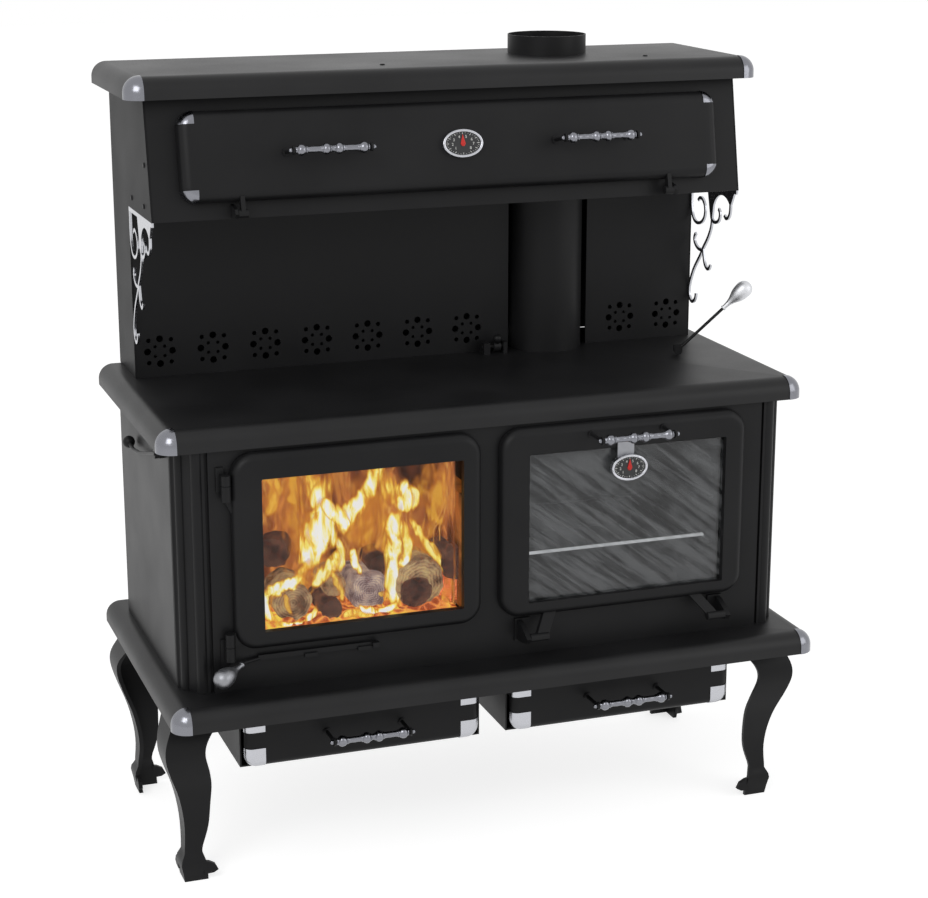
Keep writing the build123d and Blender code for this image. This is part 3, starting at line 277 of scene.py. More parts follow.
def turned(profile: np.ndarray, segments: int) -> Surface:
    """Surface of revolution about Z: radius times the cosine and sine of the turn, and height.

    Args:
        profile: Radius and height, one pair per row, from one pole or rim to the other.
        segments: How many steps a full turn has.

    Returns:
        The turned surface.
    """
    turn = np.linspace(0, 2 * math.pi, segments + 1)[:, None]
    radius, height = profile[:, 0], profile[:, 1]
    points = np.stack([radius * np.cos(turn), radius * np.sin(turn), height + 0 * turn], axis=-1)
    return Surface.grid(points)


def place(origin: tuple[float, float, float], z_axis: tuple, x_axis: tuple) -> Matrix:
    """Matrix of a local frame, from its origin, its Z direction and roughly its X direction."""
    z = Vector(z_axis).normalized()
    y = z.cross(Vector(x_axis)).normalized()
    x = y.cross(z)
    columns = Matrix((x, y, z)).transposed().to_4x4()
    return Matrix.Translation(Vector(origin)) @ columns


@dataclass(frozen=True)
class Sight:
    """Where the photograph was taken from, and what its picture points look along."""

    position: tuple[float, float, float] = (-1.340444, -3.823377, 1.832959)
    yaw: float = 0.34235
    pitch: float = -0.26812
    focal_pixels: float = 2186.786
    width: int = 928
    height: int = 898

    def axes(self) -> np.ndarray:
        """Right, up and forward, one per row, from the turn about Z and the tilt."""
        sy, cy, sp, cp = (
            math.sin(self.yaw), math.cos(self.yaw), math.sin(self.pitch), math.cos(self.pitch)
        )
        forward = np.array([sy * cp, cy * cp, sp])
        right = np.array([cy, -sy, 0.0])
        return np.stack([right, np.cross(right, forward), forward])

    def at_depth(self, picture: np.ndarray, depth: float | np.ndarray) -> np.ndarray:
        """Where the lines of sight of some picture points cross an upright plane.

        Each line runs along forward plus right and up by the point's distance from the middle of
        the picture over the focal length, and is followed until its Y is the depth.

        Args:
            picture: Points in the picture's own units, one per row, from its upper left corner.
            depth: The Y of the plane, or one for each point.

        Returns:
            Points in metres, one per row.
        """
        middle = np.array([self.width / 2, self.height / 2])
        slope = (picture - middle) / self.focal_pixels * (1, -1)
        line = np.column_stack([slope, np.ones(len(picture))]) @ self.axes()
        reach = (depth - self.position[1]) / line[:, 1]
        return np.array(self.position) + line * np.reshape(reach, (-1, 1))


# ---------------------------------------------------------------- finishes


@dataclass(frozen=True)
class Finish:
    """What a surface is made of and how it was made; each subclass adds the nodes of its kind."""

    name: str
    colour: str
    roughness: float

    def material(self) -> Material:
        """The finish as a material, made once and then shared."""
        found = bpy.data.materials.get(self.name)
        if found:
            return found
        made = bpy.data.materials.new(self.name)
        made.use_nodes = True
        shader = made.node_tree.nodes["Principled BSDF"]
        set_up(shader, {"Base Color": linear(self.colour), "Roughness": self.roughness}, {})
        self.dress(made.node_tree, shader)
        return made

    def dress(self, tree: NodeTree, shader: Node) -> None:
        """Adds the nodes that are this finish's own; the plain one has none."""


@dataclass(frozen=True)
class StovePaint(Finish):
    """Satin black high-heat paint: dry silica in the film spreads the light into soft glows."""

    light: str
    grain: float
    depth: float
    specular: float = 0.17
    spray_cloud: float = 167 * MM

    def dress(self, tree: NodeTree, shader: Node) -> None:
        """Adds the grain of the metal under the paint and the clouds that a spray gun leaves."""
        at = {"Vector": add_node(tree, COORDS).outputs["Object"]}
        cloud = add_node(tree, NOISE, {"Scale": 1 / self.spray_cloud, "Detail": 3.0}, at)
        grain = add_node(
            tree, NOISE, {"Scale": 1 / self.grain, "Detail": 2.5, "Roughness": 0.6}, at
        )
        both = add_node(tree, MATH, {"operation": "ADD"}, {0: cloud, 1: grain})
        spread = add_node(
            tree, RANGE,
            between(0.7, 1.3, self.roughness - 0.05, self.roughness + 0.06),
            {"Value": both},
        )
        stops = [(0.3, self.colour), (0.7, self.light)]
        tint = add_node(tree, RAMP, {"stops": stops}, {"Fac": cloud})
        bump = add_node(tree, BUMP, {"Strength": 0.7, "Distance": self.depth}, {"Height": grain})
        set_up(
            shader, {"Specular IOR Level": self.specular},
            {"Base Color": tint, "Roughness": spread, "Normal": bump},
        )


@dataclass(frozen=True)
class Plating(Finish):
    """Nickel and chrome plate over a casting: bright, with the faint waviness of buffed metal."""

    wave: float

    def dress(self, tree: NodeTree, shader: Node) -> None:
        """Adds the buffed waviness and the haze that fine polishing lines leave."""
        at = {"Vector": add_node(tree, COORDS).outputs["Object"]}
        wave = add_node(tree, NOISE, {"Scale": 1 / self.wave, "Detail": 2.0}, at)
        haze = add_node(
            tree, RANGE,
            between(0.35, 0.65, self.roughness - 0.04, self.roughness + 0.06),
            {"Value": wave},
        )
        bump = add_node(tree, BUMP, {"Strength": 0.35, "Distance": 0.2 * MM}, {"Height": wave})
        set_up(shader, {"Metallic": 1.0}, {"Roughness": haze, "Normal": bump})


@dataclass(frozen=True)
class RackWire(Plating):
    """Plated rack wire whose front rail carries painted light: an emitted glow that stands in for
    the daylight falling in through the door.
    """

    # Y below which the front rail gets its painted light, and how strongly that light is emitted
    painted_light_before_y: float
    painted_light_strength: float = 1.5

    def dress(self, tree: NodeTree, shader: Node) -> None:
        """Adds the plate's haze, and painted light, emitted, where Y is less than that of the
        rail's rear face.
        """
        super().dress(tree, shader)
        at = {"Vector": add_node(tree, COORDS).outputs["Object"]}
        parts = add_node(tree, SPLIT, links=at)
        light = add_node(
            tree, RANGE,
            between(self.painted_light_before_y, self.painted_light_before_y - 1 * MM, 0.0, self.painted_light_strength),
            {"Value": parts.outputs["Y"]},
        )
        # painted light: the rail emits a pale grey that stands in for light falling on it
        set_up(shader, {"Emission Color": linear("#e6e6e6")}, {"Emission Strength": light})


class PaneStreaks(Enum):
    """Painted reflection on a glass pane, as the share of light that its painted stripes take from
    what shows through.
    """

    CLEAN = 0.0
    PAINTED_REFLECTION = 0.22


@dataclass(frozen=True)
class CeramicGlass(Finish):
    """Clear glass ceramic: it shows what is behind it under a reflection of the room."""

    # how much painted reflection the pane carries in its stripes
    film: PaneStreaks
    index: float = 1.5
    stripe: float = 12.5 * MM
    painted_reflection_cloud: float = 45.5 * MM
    clear: float = 0.98
    # how far the painted reflection stripes run down to the right, below level
    slant: float = math.radians(37)

    def dress(self, tree: NodeTree, shader: Node) -> None:
        """Adds painted reflection: slanting stripes and clouds where the pane lets less through and
        shows its grey colour instead.
        """
        set_up(shader, {"IOR": self.index, "Transmission Weight": 1.0}, {})
        if self.film is PaneStreaks.CLEAN:
            return
        at = {"Vector": add_node(tree, COORDS).outputs["Object"]}
        turn = add_node(tree, STRETCH, {"Rotation": (0, -self.slant, 0)}, at)
        drawn = add_node(tree, STRETCH, {"Scale": (0.06, 1.0, 1.0)}, {"Vector": turn})
        reflection_stripes = add_node(
            tree, NOISE, {"Scale": 1 / self.stripe, "Detail": 3.0, "Roughness": 0.62},
            {"Vector": drawn},
        )
        clouds = add_node(
            tree, NOISE, {"Scale": 1 / self.painted_reflection_cloud, "Detail": 4.0, "Roughness": 0.6}, at
        )
        mixed = add_node(
            tree, MATH, {"operation": "MULTIPLY_ADD", 1: 0.35}, {0: clouds, 2: reflection_stripes}
        )
        # painted reflection: less transmission in the stripes lets the grey base colour show,
        # standing in for a reflection
        film = add_node(
            tree, RANGE,
            between(0.60, 0.76, self.clear, self.clear - self.film.value),
            {"Value": mixed},
        )
        set_up(shader, {}, {"Transmission Weight": film})


@dataclass(frozen=True)
class FiredClay(Finish):
    """Pressed firebrick: a matt, sandy face, browned by soot, with painted firelight: it emits an
    orange glow in clouds.
    """

    soot: str
    # the colour and strength of the painted firelight that the bricks emit
    glow: str
    painted_firelight_strength: float
    soot_cloud: float = 111 * MM
    # coarser than the clay's own sand, so that it shows
    sand: float = 2.5 * MM

    def dress(self, tree: NodeTree, shader: Node) -> None:
        """Adds sand grain, soot clouds and the glow, which is painted firelight."""
        at = {"Vector": add_node(tree, COORDS).outputs["Object"]}
        soot = add_node(
            tree, NOISE,
            {"Scale": 1 / self.soot_cloud, "Detail": 5.0, "Roughness": 0.6, "Distortion": 0.6}, at,
        )
        sand = add_node(tree, NOISE, {"Scale": 1 / self.sand, "Detail": 2.0}, at)
        stops = [(0.35, self.soot), (0.65, self.colour)]
        colour = add_node(tree, RAMP, {"stops": stops}, {"Fac": soot})
        # painted firelight: an emitted orange glow in clouds that follow the soot noise
        stops = [(0.38, "#1c0a03"), (0.72, self.glow)]
        glow = add_node(tree, RAMP, {"stops": stops}, {"Fac": soot})
        bump = add_node(tree, BUMP, {"Strength": 0.8, "Distance": 0.6 * MM}, {"Height": sand})
        set_up(
            shader, {"Emission Strength": self.painted_firelight_strength},
            {"Base Color": colour, "Emission Color": glow, "Normal": bump},
        )


@dataclass(frozen=True)
class BareMetal(Finish):
    """Unpainted iron or steel, dulled by heat: metallic, with scale in darker clouds."""

    dark: str
    scale: float

    def dress(self, tree: NodeTree, shader: Node) -> None:
        """Adds clouds of heat scale that darken and roughen the metal."""
        at = {"Vector": add_node(tree, COORDS).outputs["Object"]}
        cloud = add_node(
            tree, NOISE, {"Scale": 1 / self.scale, "Detail": 5.0, "Roughness": 0.6}, at
        )
        stops = [(0.35, self.dark), (0.65, self.colour)]
        colour = add_node(tree, RAMP, {"stops": stops}, {"Fac": cloud})
        spread = add_node(
            tree, RANGE,
            between(0.0, 1.0, self.roughness + 0.1, self.roughness - 0.1), {"Value": cloud},
        )
        set_up(shader, {"Metallic": 1.0}, {"Base Color": colour, "Roughness": spread})


@dataclass(frozen=True)
class Woven(Finish):
    """Glass-fibre rope: matt strands that cross on the slant."""

    strand: float

    def dress(self, tree: NodeTree, shader: Node) -> None:
        """Adds the slanting strands as bump."""
        at = {"Vector": add_node(tree, COORDS).outputs["Object"]}
        weave = add_node(
            tree, "ShaderNodeTexWave",
            {"Scale": 0.5 / self.strand, "bands_direction": "DIAGONAL"}, at,
        )
        bump = add_node(
            tree, BUMP, {"Strength": 0.8, "Distance": 0.8 * MM},
            {"Height": weave.outputs["Fac"]},
        )
        set_up(shader, {}, {"Normal": bump})


@dataclass(frozen=True)
class Enamel(Finish):
    """Printed dial enamel: smooth and even, with a little orange peel."""

    peel: float = 0.5 * MM

    def dress(self, tree: NodeTree, shader: Node) -> None:
        """Adds the orange peel as bump."""
        at = {"Vector": add_node(tree, COORDS).outputs["Object"]}
        peel = add_node(tree, NOISE, {"Scale": 1 / self.peel, "Detail": 1.0}, at)
        bump = add_node(tree, BUMP, {"Strength": 0.2, "Distance": 0.1 * MM}, {"Height": peel})
        set_up(shader, {}, {"Normal": bump})


@dataclass(frozen=True)
class Charring(Finish):
    """Wood in the fire: char, bark and ash in clouds, rings on the sawn ends, and painted
    firelight, the wood emitting its own colour.
    """

    char: str
    ash: str
    ember_strength: float
    crack: float = 16.7 * MM
    ash_cloud: float = 33.3 * MM
    rings: int = 7

    def dress(self, tree: NodeTree, shader: Node) -> None:
        """Adds cracks along the grain, rings on the ends, painted firelight and embers in the
        cracks.
        """
        at = {"Vector": add_node(tree, COORDS).outputs["Object"]}
        chart = add_node(tree, CHARTED, {"uv_map": CHART})
        end = add_node(tree, SPLIT, links={"Vector": chart}).outputs["Y"]
        along = add_node(tree, STRETCH, {"Scale": (1.0, 0.35, 1.0)}, at)
        cracks = add_node(
            tree, CELLS, {"Scale": 1 / self.crack, "feature": "DISTANCE_TO_EDGE"},
            {"Vector": along},
        )
        cloud = add_node(
            tree, NOISE, {"Scale": 1 / self.ash_cloud, "Detail": 5.0, "Roughness": 0.6}, at
        )
        # the charts of the ends run from 2 at the rim to 3 in the middle
        turns = {"operation": "MULTIPLY", 1: 2 * math.pi * self.rings}
        turn = add_node(tree, MATH, turns, {0: end})
        ring = add_node(tree, MATH, {"operation": "SINE"}, {0: turn})
        sawn = add_node(tree, RANGE, between(1.4, 1.6, 0.0, 0.05), {"Value": end})
        shade = add_node(tree, MATH, {"operation": "MULTIPLY_ADD"}, {0: ring, 1: sawn, 2: cloud})
        stops = [(0.36, self.char), (0.5, self.colour), (0.64, self.ash)]
        colour = add_node(tree, RAMP, {"stops": stops}, {"Fac": shade})
        deep = add_node(
            tree, RANGE,
            between(0.0, 0.03, self.ember_strength, 0.0),
            {"Value": cracks},
        )
        lit = add_node(
            tree, MIX, {"data_type": "RGBA", 7: linear("#e0602c")},
            {"Factor": deep, 6: colour},
        )
        bump = add_node(tree, BUMP, {"Strength": 0.6, "Distance": 2 * MM}, {"Height": cracks})
        # painted firelight: the whole surface emits its own colour at 0.8, and the cracks emit
        # ember orange
        set_up(
            shader, {"Specular IOR Level": 0.1, "Emission Strength": 0.8},
            {"Base Color": colour, "Emission Color": lit.outputs[2], "Normal": bump},
        )


@dataclass(frozen=True)
class Embers(Finish):
    """Bed of coals: black crust over coals that glow from orange to yellow."""

    hot: str
    coal: float = 20.8 * MM
    glow_cloud: float = 71.4 * MM

    def dress(self, tree: NodeTree, shader: Node) -> None:
        """Adds the crust's cells and the light between them."""
        at = {"Vector": add_node(tree, COORDS).outputs["Object"]}
        cells = add_node(
            tree, CELLS, {"Scale": 1 / self.coal, "feature": "DISTANCE_TO_EDGE"}, at
        )
        cloud = add_node(
            tree, NOISE, {"Scale": 1 / self.glow_cloud, "Detail": 4.0, "Distortion": 0.5}, at
        )
        lit = add_node(tree, MATH, {"operation": "SUBTRACT"}, {0: cloud, 1: cells})
        stops = [(0.24, "#98421e"), (0.36, "#d0703a"), (0.46, "#e29a44"), (0.58, self.hot)]
        glow = add_node(tree, RAMP, {"stops": stops}, {"Fac": lit})
        set_up(shader, {"Emission Strength": 1.0}, {"Emission Color": glow})


@dataclass(frozen=True)
class FlameLight(Finish):
    """Burning gas: no surface of its own, only light, whitest where the flame is thick."""

    threads: float
    lick: float = 19.2 * MM
    # how much the pattern shrinks along Z, which draws it out upwards
    rise: float = 0.24

    def dress(self, tree: NodeTree, shader: Node) -> None:
        """Adds light that fades to the edges and the tip and is drawn out into rising threads."""
        chart = add_node(tree, CHARTED, {"uv_map": CHART})
        parts = add_node(tree, SPLIT, links={"Vector": chart})
        across, along = parts.outputs["X"], parts.outputs["Y"]
        heat = add_node(tree, "ShaderNodeAttribute", {"attribute_name": HEAT})
        at = {"Vector": add_node(tree, COORDS).outputs["Object"]}
        rising = {"Vector": add_node(tree, STRETCH, {"Scale": (1.0, 1.0, self.rise)}, at)}
        threads = add_node(
            tree, NOISE,
            {"Scale": 1 / self.threads, "Detail": 4.0, "Roughness": 0.6, "Distortion": 1.6}, rising,
        )
        # a coarse noise pushes the middle line from side to side, which leaves ragged edges
        lick = add_node(
            tree, NOISE,
            {"Scale": 1 / self.lick, "Detail": 2.0, "Roughness": 0.5, "Distortion": 0.9}, rising,
        )
        middle = add_node(tree, RANGE, between(0.0, 1.0, -1.0, 1.0), {"Value": across})
        push = add_node(
            tree, RANGE,
            {**between(0.2, 0.8, -0.45, 0.45), "clamp": False},
            {"Value": lick},
        )
        ragged = add_node(tree, MATH, {"operation": "ADD"}, {0: middle, 1: push})
        squared = add_node(tree, MATH, {"operation": "MULTIPLY"}, {0: ragged, 1: ragged})
        soft = {"interpolation_type": "SMOOTHSTEP"}
        # thick and hot in the middle, thinning out as a bell curve does
        bell = add_node(tree, RANGE, {**between(1.0, -0.25, 0.0, 1.15), **soft}, {"Value": squared})
        tip = add_node(tree, RANGE, {**between(1.0, 0.7), **soft}, {"Value": along})
        root = add_node(tree, RANGE, {**between(0.0, 0.14), **soft}, {"Value": along})
        streak = add_node(tree, RANGE, between(0.36, 0.6, 0.45, 1.1), {"Value": threads})
        level = bell
        for share in (tip, root, streak, heat.outputs["Fac"]):
            level = add_node(
                tree, MATH, {"operation": "MULTIPLY", "use_clamp": True},
                {0: level, 1: share},
            )
        stops = [(0.05, "#8a4a1c"), (0.26, "#cc7c2e"), (0.46, "#e0a83c"), (0.68, "#ecd868"),
                 (0.88, "#efe8b8"), (1.0, "#e9e8e4")]
        colour = add_node(tree, RAMP, {"stops": stops}, {"Fac": level})
        cover = add_node(tree, RANGE, between(0.02, 0.62, 0.0, 0.95), {"Value": level})
        set_up(shader, LIGHT_ONLY, {"Emission Color": colour, "Alpha": cover})


@dataclass(frozen=True)
class FlameHaze(Finish):
    """Curtain of burning gas over the whole fire: brown where it is thin, gold along its folds."""

    fold: float
    cover: float
    body: tuple[str, str, str]
    smoke_cloud: float = 71.4 * MM
    rise: float = 0.42

    def dress(self, tree: NodeTree, shader: Node) -> None:
        """Adds the clouded body and the folds, thin lines where a noise crosses its middle."""
        at = {"Vector": add_node(tree, COORDS).outputs["Object"]}
        rising = {"Vector": add_node(tree, STRETCH, {"Scale": (1.0, 1.0, self.rise)}, at)}
        cloud = add_node(
            tree, NOISE,
            {"Scale": 1 / self.smoke_cloud, "Detail": 4.0, "Roughness": 0.55, "Distortion": 0.8},
            rising,
        )
        swirl = add_node(
            tree, NOISE,
            {"Scale": 1 / self.fold, "Detail": 3.0, "Roughness": 0.5, "Distortion": 1.8}, rising,
        )
        centred = add_node(tree, MATH, {"operation": "SUBTRACT", 1: 0.5}, {0: swirl})
        away = add_node(tree, MATH, {"operation": "ABSOLUTE"}, {0: centred})
        line = add_node(
            tree, RANGE,
            {**between(0.06, 0.0), "interpolation_type": "SMOOTHSTEP"}, {"Value": away},
        )
        lit = add_node(tree, RANGE, between(0.42, 0.62), {"Value": cloud})
        fold = add_node(tree, MATH, {"operation": "MULTIPLY"}, {0: line, 1: lit})
        stops = list(zip((0.34, 0.52, 0.68), self.body))
        body = add_node(tree, RAMP, {"stops": stops}, {"Fac": cloud})
        colour = add_node(
            tree, MIX, {"data_type": "RGBA", 7: linear(self.colour)},
            {"Factor": fold, 6: body},
        )
        cover = add_node(
            tree, MATH,
            {"operation": "MULTIPLY_ADD", "use_clamp": True, 1: 1.0, 2: self.cover}, {0: fold},
        )
        set_up(shader, LIGHT_ONLY, {"Emission Color": colour.outputs[2], "Alpha": cover})


# Satin stove paint over sand-cast iron: the sand's grain shows in the highlights, and is drawn
# a few times coarser than real sand, so that it shows at all
CASTING_PAINT = StovePaint(
    "satin_stove_paint_on_cast_iron", "#131314", roughness=0.44, light="#1b1b1c", grain=1.6 * MM,
    depth=0.10 * MM,
)
# The flat tops are rubbed down before painting and glow more at a low angle
RUBBED_PAINT = StovePaint(
    "satin_stove_paint_on_rubbed_casting", "#131314", roughness=0.42, light="#1b1b1c",
    grain=1.6 * MM, depth=0.06 * MM, specular=0.27,
)
# A drier coat on the upper sides: the sheet glows less at a low angle
DRY_PAINT = StovePaint(
    "dry_stove_paint_on_sheet", "#131314", roughness=0.50, light="#19191a", grain=0.8 * MM,
    depth=0.03 * MM, specular=0.11,
)
# The same paint over rolled sheet: nearly smooth
SHEET_PAINT = StovePaint(
    "satin_stove_paint_on_sheet", "#131314", roughness=0.42, light="#19191a", grain=0.8 * MM,
    depth=0.03 * MM,
)
# Buffed under bright plate: a clear but slightly soft reflection of the white room
BRIGHT_PLATE = Plating("buffed_nickel_plate_on_flat_work", "#b9babf", roughness=0.24, wave=4 * MM)
# Turned and pressed trim is darker: lavender grey between its highlights
TRIM_PLATE = Plating("nickel_plate_on_trim", "#808187", roughness=0.22, wave=4 * MM)
# The lever's knob is brushed: a pale, even grey
BRUSHED_PLATE = Plating("brushed_nickel_plate", "#d4d5d8", roughness=0.5, wave=4 * MM)
# Plated but not buffed: the tab of the oven's dial and the air knob stay grey
DULL_PLATE = Plating("unbuffed_nickel_plate", "#8f9094", roughness=0.42, wave=4 * MM)
# Thin plated wire: dark in the oven but for its front rail, painted as a glowing white line behind
# the glass
WIRE_PLATE = RackWire("plated_rack_wire", "#8e8f92", roughness=0.2, wave=6 * MM, painted_light_before_y=-0.180)
# Fire glass is polished and clean: the room hardly shows in it, and the flames stay clear
FIRE_GLASS = CeramicGlass(
    "clear_glass_ceramic", "#ffffff", roughness=0.0, film=PaneStreaks.CLEAN, index=1.14
)
# Oven glass is tinted, with painted reflection: a grey veil in slanting stripes
OVEN_GLASS = CeramicGlass(
    "glass_ceramic_with_painted_streaks", "#9c9ea0", roughness=0.03, film=PaneStreaks.PAINTED_REFLECTION, index=1.4
)
# Pressed clay: matt, sooty brown with painted firelight, an emitted orange glow
FIREBRICK = FiredClay(
    "pressed_firebrick", "#a5743f", roughness=0.9, soot="#3c2414", glow="#b0641e",
    painted_firelight_strength=0.55,
)
# Steel plate above the fire: brown scale that hardly shines
FIREBOX_PLATE = BareMetal(
    "heat_scaled_steel_plate", "#4a443d", roughness=0.6, dark="#1f1b18", scale=50 * MM
)
# Aluminised steel sheet that the oven has dulled: soft grey walls
OVEN_SHEET = BareMetal(
    "dull_aluminised_oven_steel", "#7e8083", roughness=0.55, dark="#626467", scale=120 * MM
)
# Bare iron, cast and burnt: nearly black and rough
GRATE_IRON = BareMetal("bare_cast_iron", "#3a3634", roughness=0.65, dark="#1d1a18", scale=20 * MM)
# Rope of glass fibre that soot has greyed: matt, with crossing strands
GASKET_ROPE = Woven("woven_glass_fibre_rope", "#2a2a2a", roughness=0.95, strand=3 * MM)
# Enamel on the dial: smooth black that catches one soft highlight
DIAL_BLACK = Enamel("black_dial_enamel", "#17181a", roughness=0.35)
# White ink printed over it: duller than the enamel
DIAL_WHITE = Enamel("white_dial_print", "#dcdcd8", roughness=0.5)
# Paint on the pointers: a clear signal red
NEEDLE_RED = Enamel("red_pointer_paint", "#c81e14", roughness=0.4)
# Bark and sawn wood with painted firelight: warm brown with pale rings
LOG_BARK = Charring(
    "log_bark_with_painted_firelight", "#786049", roughness=0.95, char="#463428", ash="#95805a", ember_strength=0.25
)
# Wood under its own ash: cool grey with a lilac cast
LOG_ASH = Charring(
    "grey_lilac_log_ash", "#7f6e68", roughness=0.95, char="#574646", ash="#a08c74",
    ember_strength=0.1,
)
# Burnt wood: dark brown, and the darkest thing in the fire
LOG_CHAR = Charring(
    "black_log_char", "#42302a", roughness=0.95, char="#2a201c", ash="#5c4234", ember_strength=0.22
)
# Wood that glows through: dull orange red
LOG_GLOW = Charring(
    "glowing_log", "#b95c3a", roughness=0.95, char="#86402a", ash="#d88458", ember_strength=0.5
)
# Coals on the grate: dark crust between bright orange cracks
EMBER_BED = Embers("glowing_coals", "#15100d", roughness=0.95, hot="#e8c44c")
# Flames: white where they are thick, then yellow, then orange at the edges
FLAME = FlameLight("wood_flame", "#000000", roughness=1.0, threads=24 * MM)
# Burning gas at the back: brown and orange clouds that hide the rear bricks
REAR_HAZE = FlameHaze(
    "rear_flame_haze", "#c47c3c", roughness=1.0, fold=60 * MM, cover=1.0,
    body=("#321e16", "#80462a", "#b46c38"),
)
# Burning gas before it: see-through, with golden folds
FRONT_HAZE = FlameHaze(
    "front_flame_haze", "#d69c50", roughness=1.0, fold=46 * MM, cover=0.0,
    body=("#8c4c22", "#b06c30", "#cc9048"),
)

SLOT_FINISH = {
    "black_casting": CASTING_PAINT,
    "black_sheet": SHEET_PAINT,
    "chrome": TRIM_PLATE,
    "door_glass": FIRE_GLASS,
    "firebox_steel": FIREBOX_PLATE,
    "firebrick": FIREBRICK,
    "raw_iron": GRATE_IRON,
    "oven_steel": OVEN_SHEET,
    "rack_wire": WIRE_PLATE,
    "rope_gasket": GASKET_ROPE,
    "needle_red": NEEDLE_RED,
}
NODE_FINISH = {
    "oven_door_glass": OVEN_GLASS,
    "scroll_brackets": BRIGHT_PLATE,
    "left_drawer_corner_caps": BRIGHT_PLATE,
    "right_drawer_corner_caps": BRIGHT_PLATE,
    "cooktop": RUBBED_PAINT,
    "top_shelf": RUBBED_PAINT,
    "base_plate": RUBBED_PAINT,
    "upper_side_left": DRY_PAINT,
    "upper_side_right": DRY_PAINT,
}


@dataclass
class PackedNodes:
    """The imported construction: each node gets its finish and evenly shaded round faces."""

    frame: dict

    @staticmethod
    def smoothing_group() -> NodeTree:
        """Joins loose triangles and shades them smooth, except across edges sharper than the limit.

        Returns:
            The geometry node group.
        """
        group = bpy.data.node_groups.new("even_shading", "GeometryNodeTree")
        for way in ("INPUT", "OUTPUT"):
            group.interface.new_socket("Geometry", in_out=way, socket_type="NodeSocketGeometry")
        start = add_node(group, "NodeGroupInput")
        merged = add_node(
            group, "GeometryNodeMergeByDistance", {"Distance": MERGE}, {"Geometry": start}
        )
        plain = add_node(
            group, "GeometryNodeRemoveAttribute", {"Name": "custom_normal"}, {"Geometry": merged}
        )
        smooth = add_node(
            group, "GeometryNodeSetShadeSmooth", {"domain": "FACE", "Shade Smooth": True},
            {"Geometry": plain},
        )
        angle = add_node(group, "GeometryNodeInputMeshEdgeAngle")
        sharp = add_node(
            group, "FunctionNodeCompare", {"operation": "GREATER_THAN", 1: SMOOTH_ANGLE}, {0: angle}
        )
        edged = add_node(
            group, "GeometryNodeSetShadeSmooth", {"domain": "EDGE", "Shade Smooth": False},
            {"Geometry": smooth, "Selection": sharp},
        )
        add_node(group, "NodeGroupOutput", links={0: edged})
        return group

    def dress(self) -> None:
        """Gives every node its finish by the record's material slot and its smooth shading."""
        smoothing = self.smoothing_group()
        slots = {part["node"]: part["material_slot"] for part in self.frame["record"]["subparts"]}
        for name, node in self.frame["nodes"].items():
            finish = NODE_FINISH.get(name, SLOT_FINISH[slots[name]])
            node.data.materials.clear()
            node.data.materials.append(finish.material())
            node.modifiers.new("even_shading", "NODES").node_group = smoothing
        LOG.info("dressed %d packed nodes", len(self.frame["nodes"]))


# ---------------------------------------------------------------- plated trim


@dataclass
class BeadedGrips:
    """Turned grips of the doors and drawers: beads and collars along a tapered bar."""

    half_length: float = 81 * MM
    segments: int = 48
    per_span: int = 4
    # distance from the middle and radius, in millimetres, from the middle outwards
    profile: tuple[tuple[float, float], ...] = (
        (0, 5.4), (2.2, 5.7), (3.2, 6.9), (4.2, 6.9), (5.0, 6.4), (6.6, 8.2), (9.0, 9.7),
        (11.8, 10.1), (14.6, 9.7), (17.0, 8.2), (18.8, 6.5), (19.8, 6.9), (20.8, 6.8), (22.0, 5.8),
        (27, 5.3), (34, 5.6), (41, 5.3), (46, 5.8), (47.2, 6.9), (48.4, 6.9), (49.4, 6.3),
        (51.8, 8.2), (55, 9.8), (58.4, 10.2), (61.4, 9.6), (64.0, 7.6), (65.6, 5.9), (66.8, 6.2),
        (67.8, 5.7),
        (69.9, 4.4), (70.1, 3.5), (73.9, 3.5), (74.1, 3.7), (75.4, 4.2), (77.4, 4.2), (79.4, 3.4),
        (80.6, 1.9), (81, 0),
    )

    def bar(self, centre: Vector) -> Surface:
        """One grip: the profile through its points, turned about X and mirrored in its middle.

        Args:
            centre: The middle of the bar.

        Returns:
            The closed surface.
        """
        half = through(np.array(self.profile), self.per_span) * MM
        half[:, 1] = np.maximum(half[:, 1], 0)
        rows = np.vstack([half[:0:-1] * (-1, 1), half])
        surface = turned(rows[:, ::-1], self.segments)
        return surface.moved(place(tuple(centre), (1, 0, 0), (0, 0, 1)))

    def build(self, node: str, body: str, count: int) -> None:
        """Builds the grips that stand for one node.

        Args:
            node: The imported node, whose box holds the grips end to end along X.
            body: The body that they ride on.
            count: How many grips the node holds.
        """
        low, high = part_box(node)
        middle = (low + high) / 2
        outermost = (high.x - low.x) / 2 - self.half_length
        offsets = np.linspace(-outermost, outermost, count) if count > 1 else (0.0,)
        bars = [self.bar(middle + Vector((offset, 0, 0))) for offset in offsets]
        piece = Surface.joined(bars).to_object(f"{node}_turned", TRIM_PLATE)
        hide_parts(node)
        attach(piece, body)
        LOG.info("turned %d grips for %s", count, node)


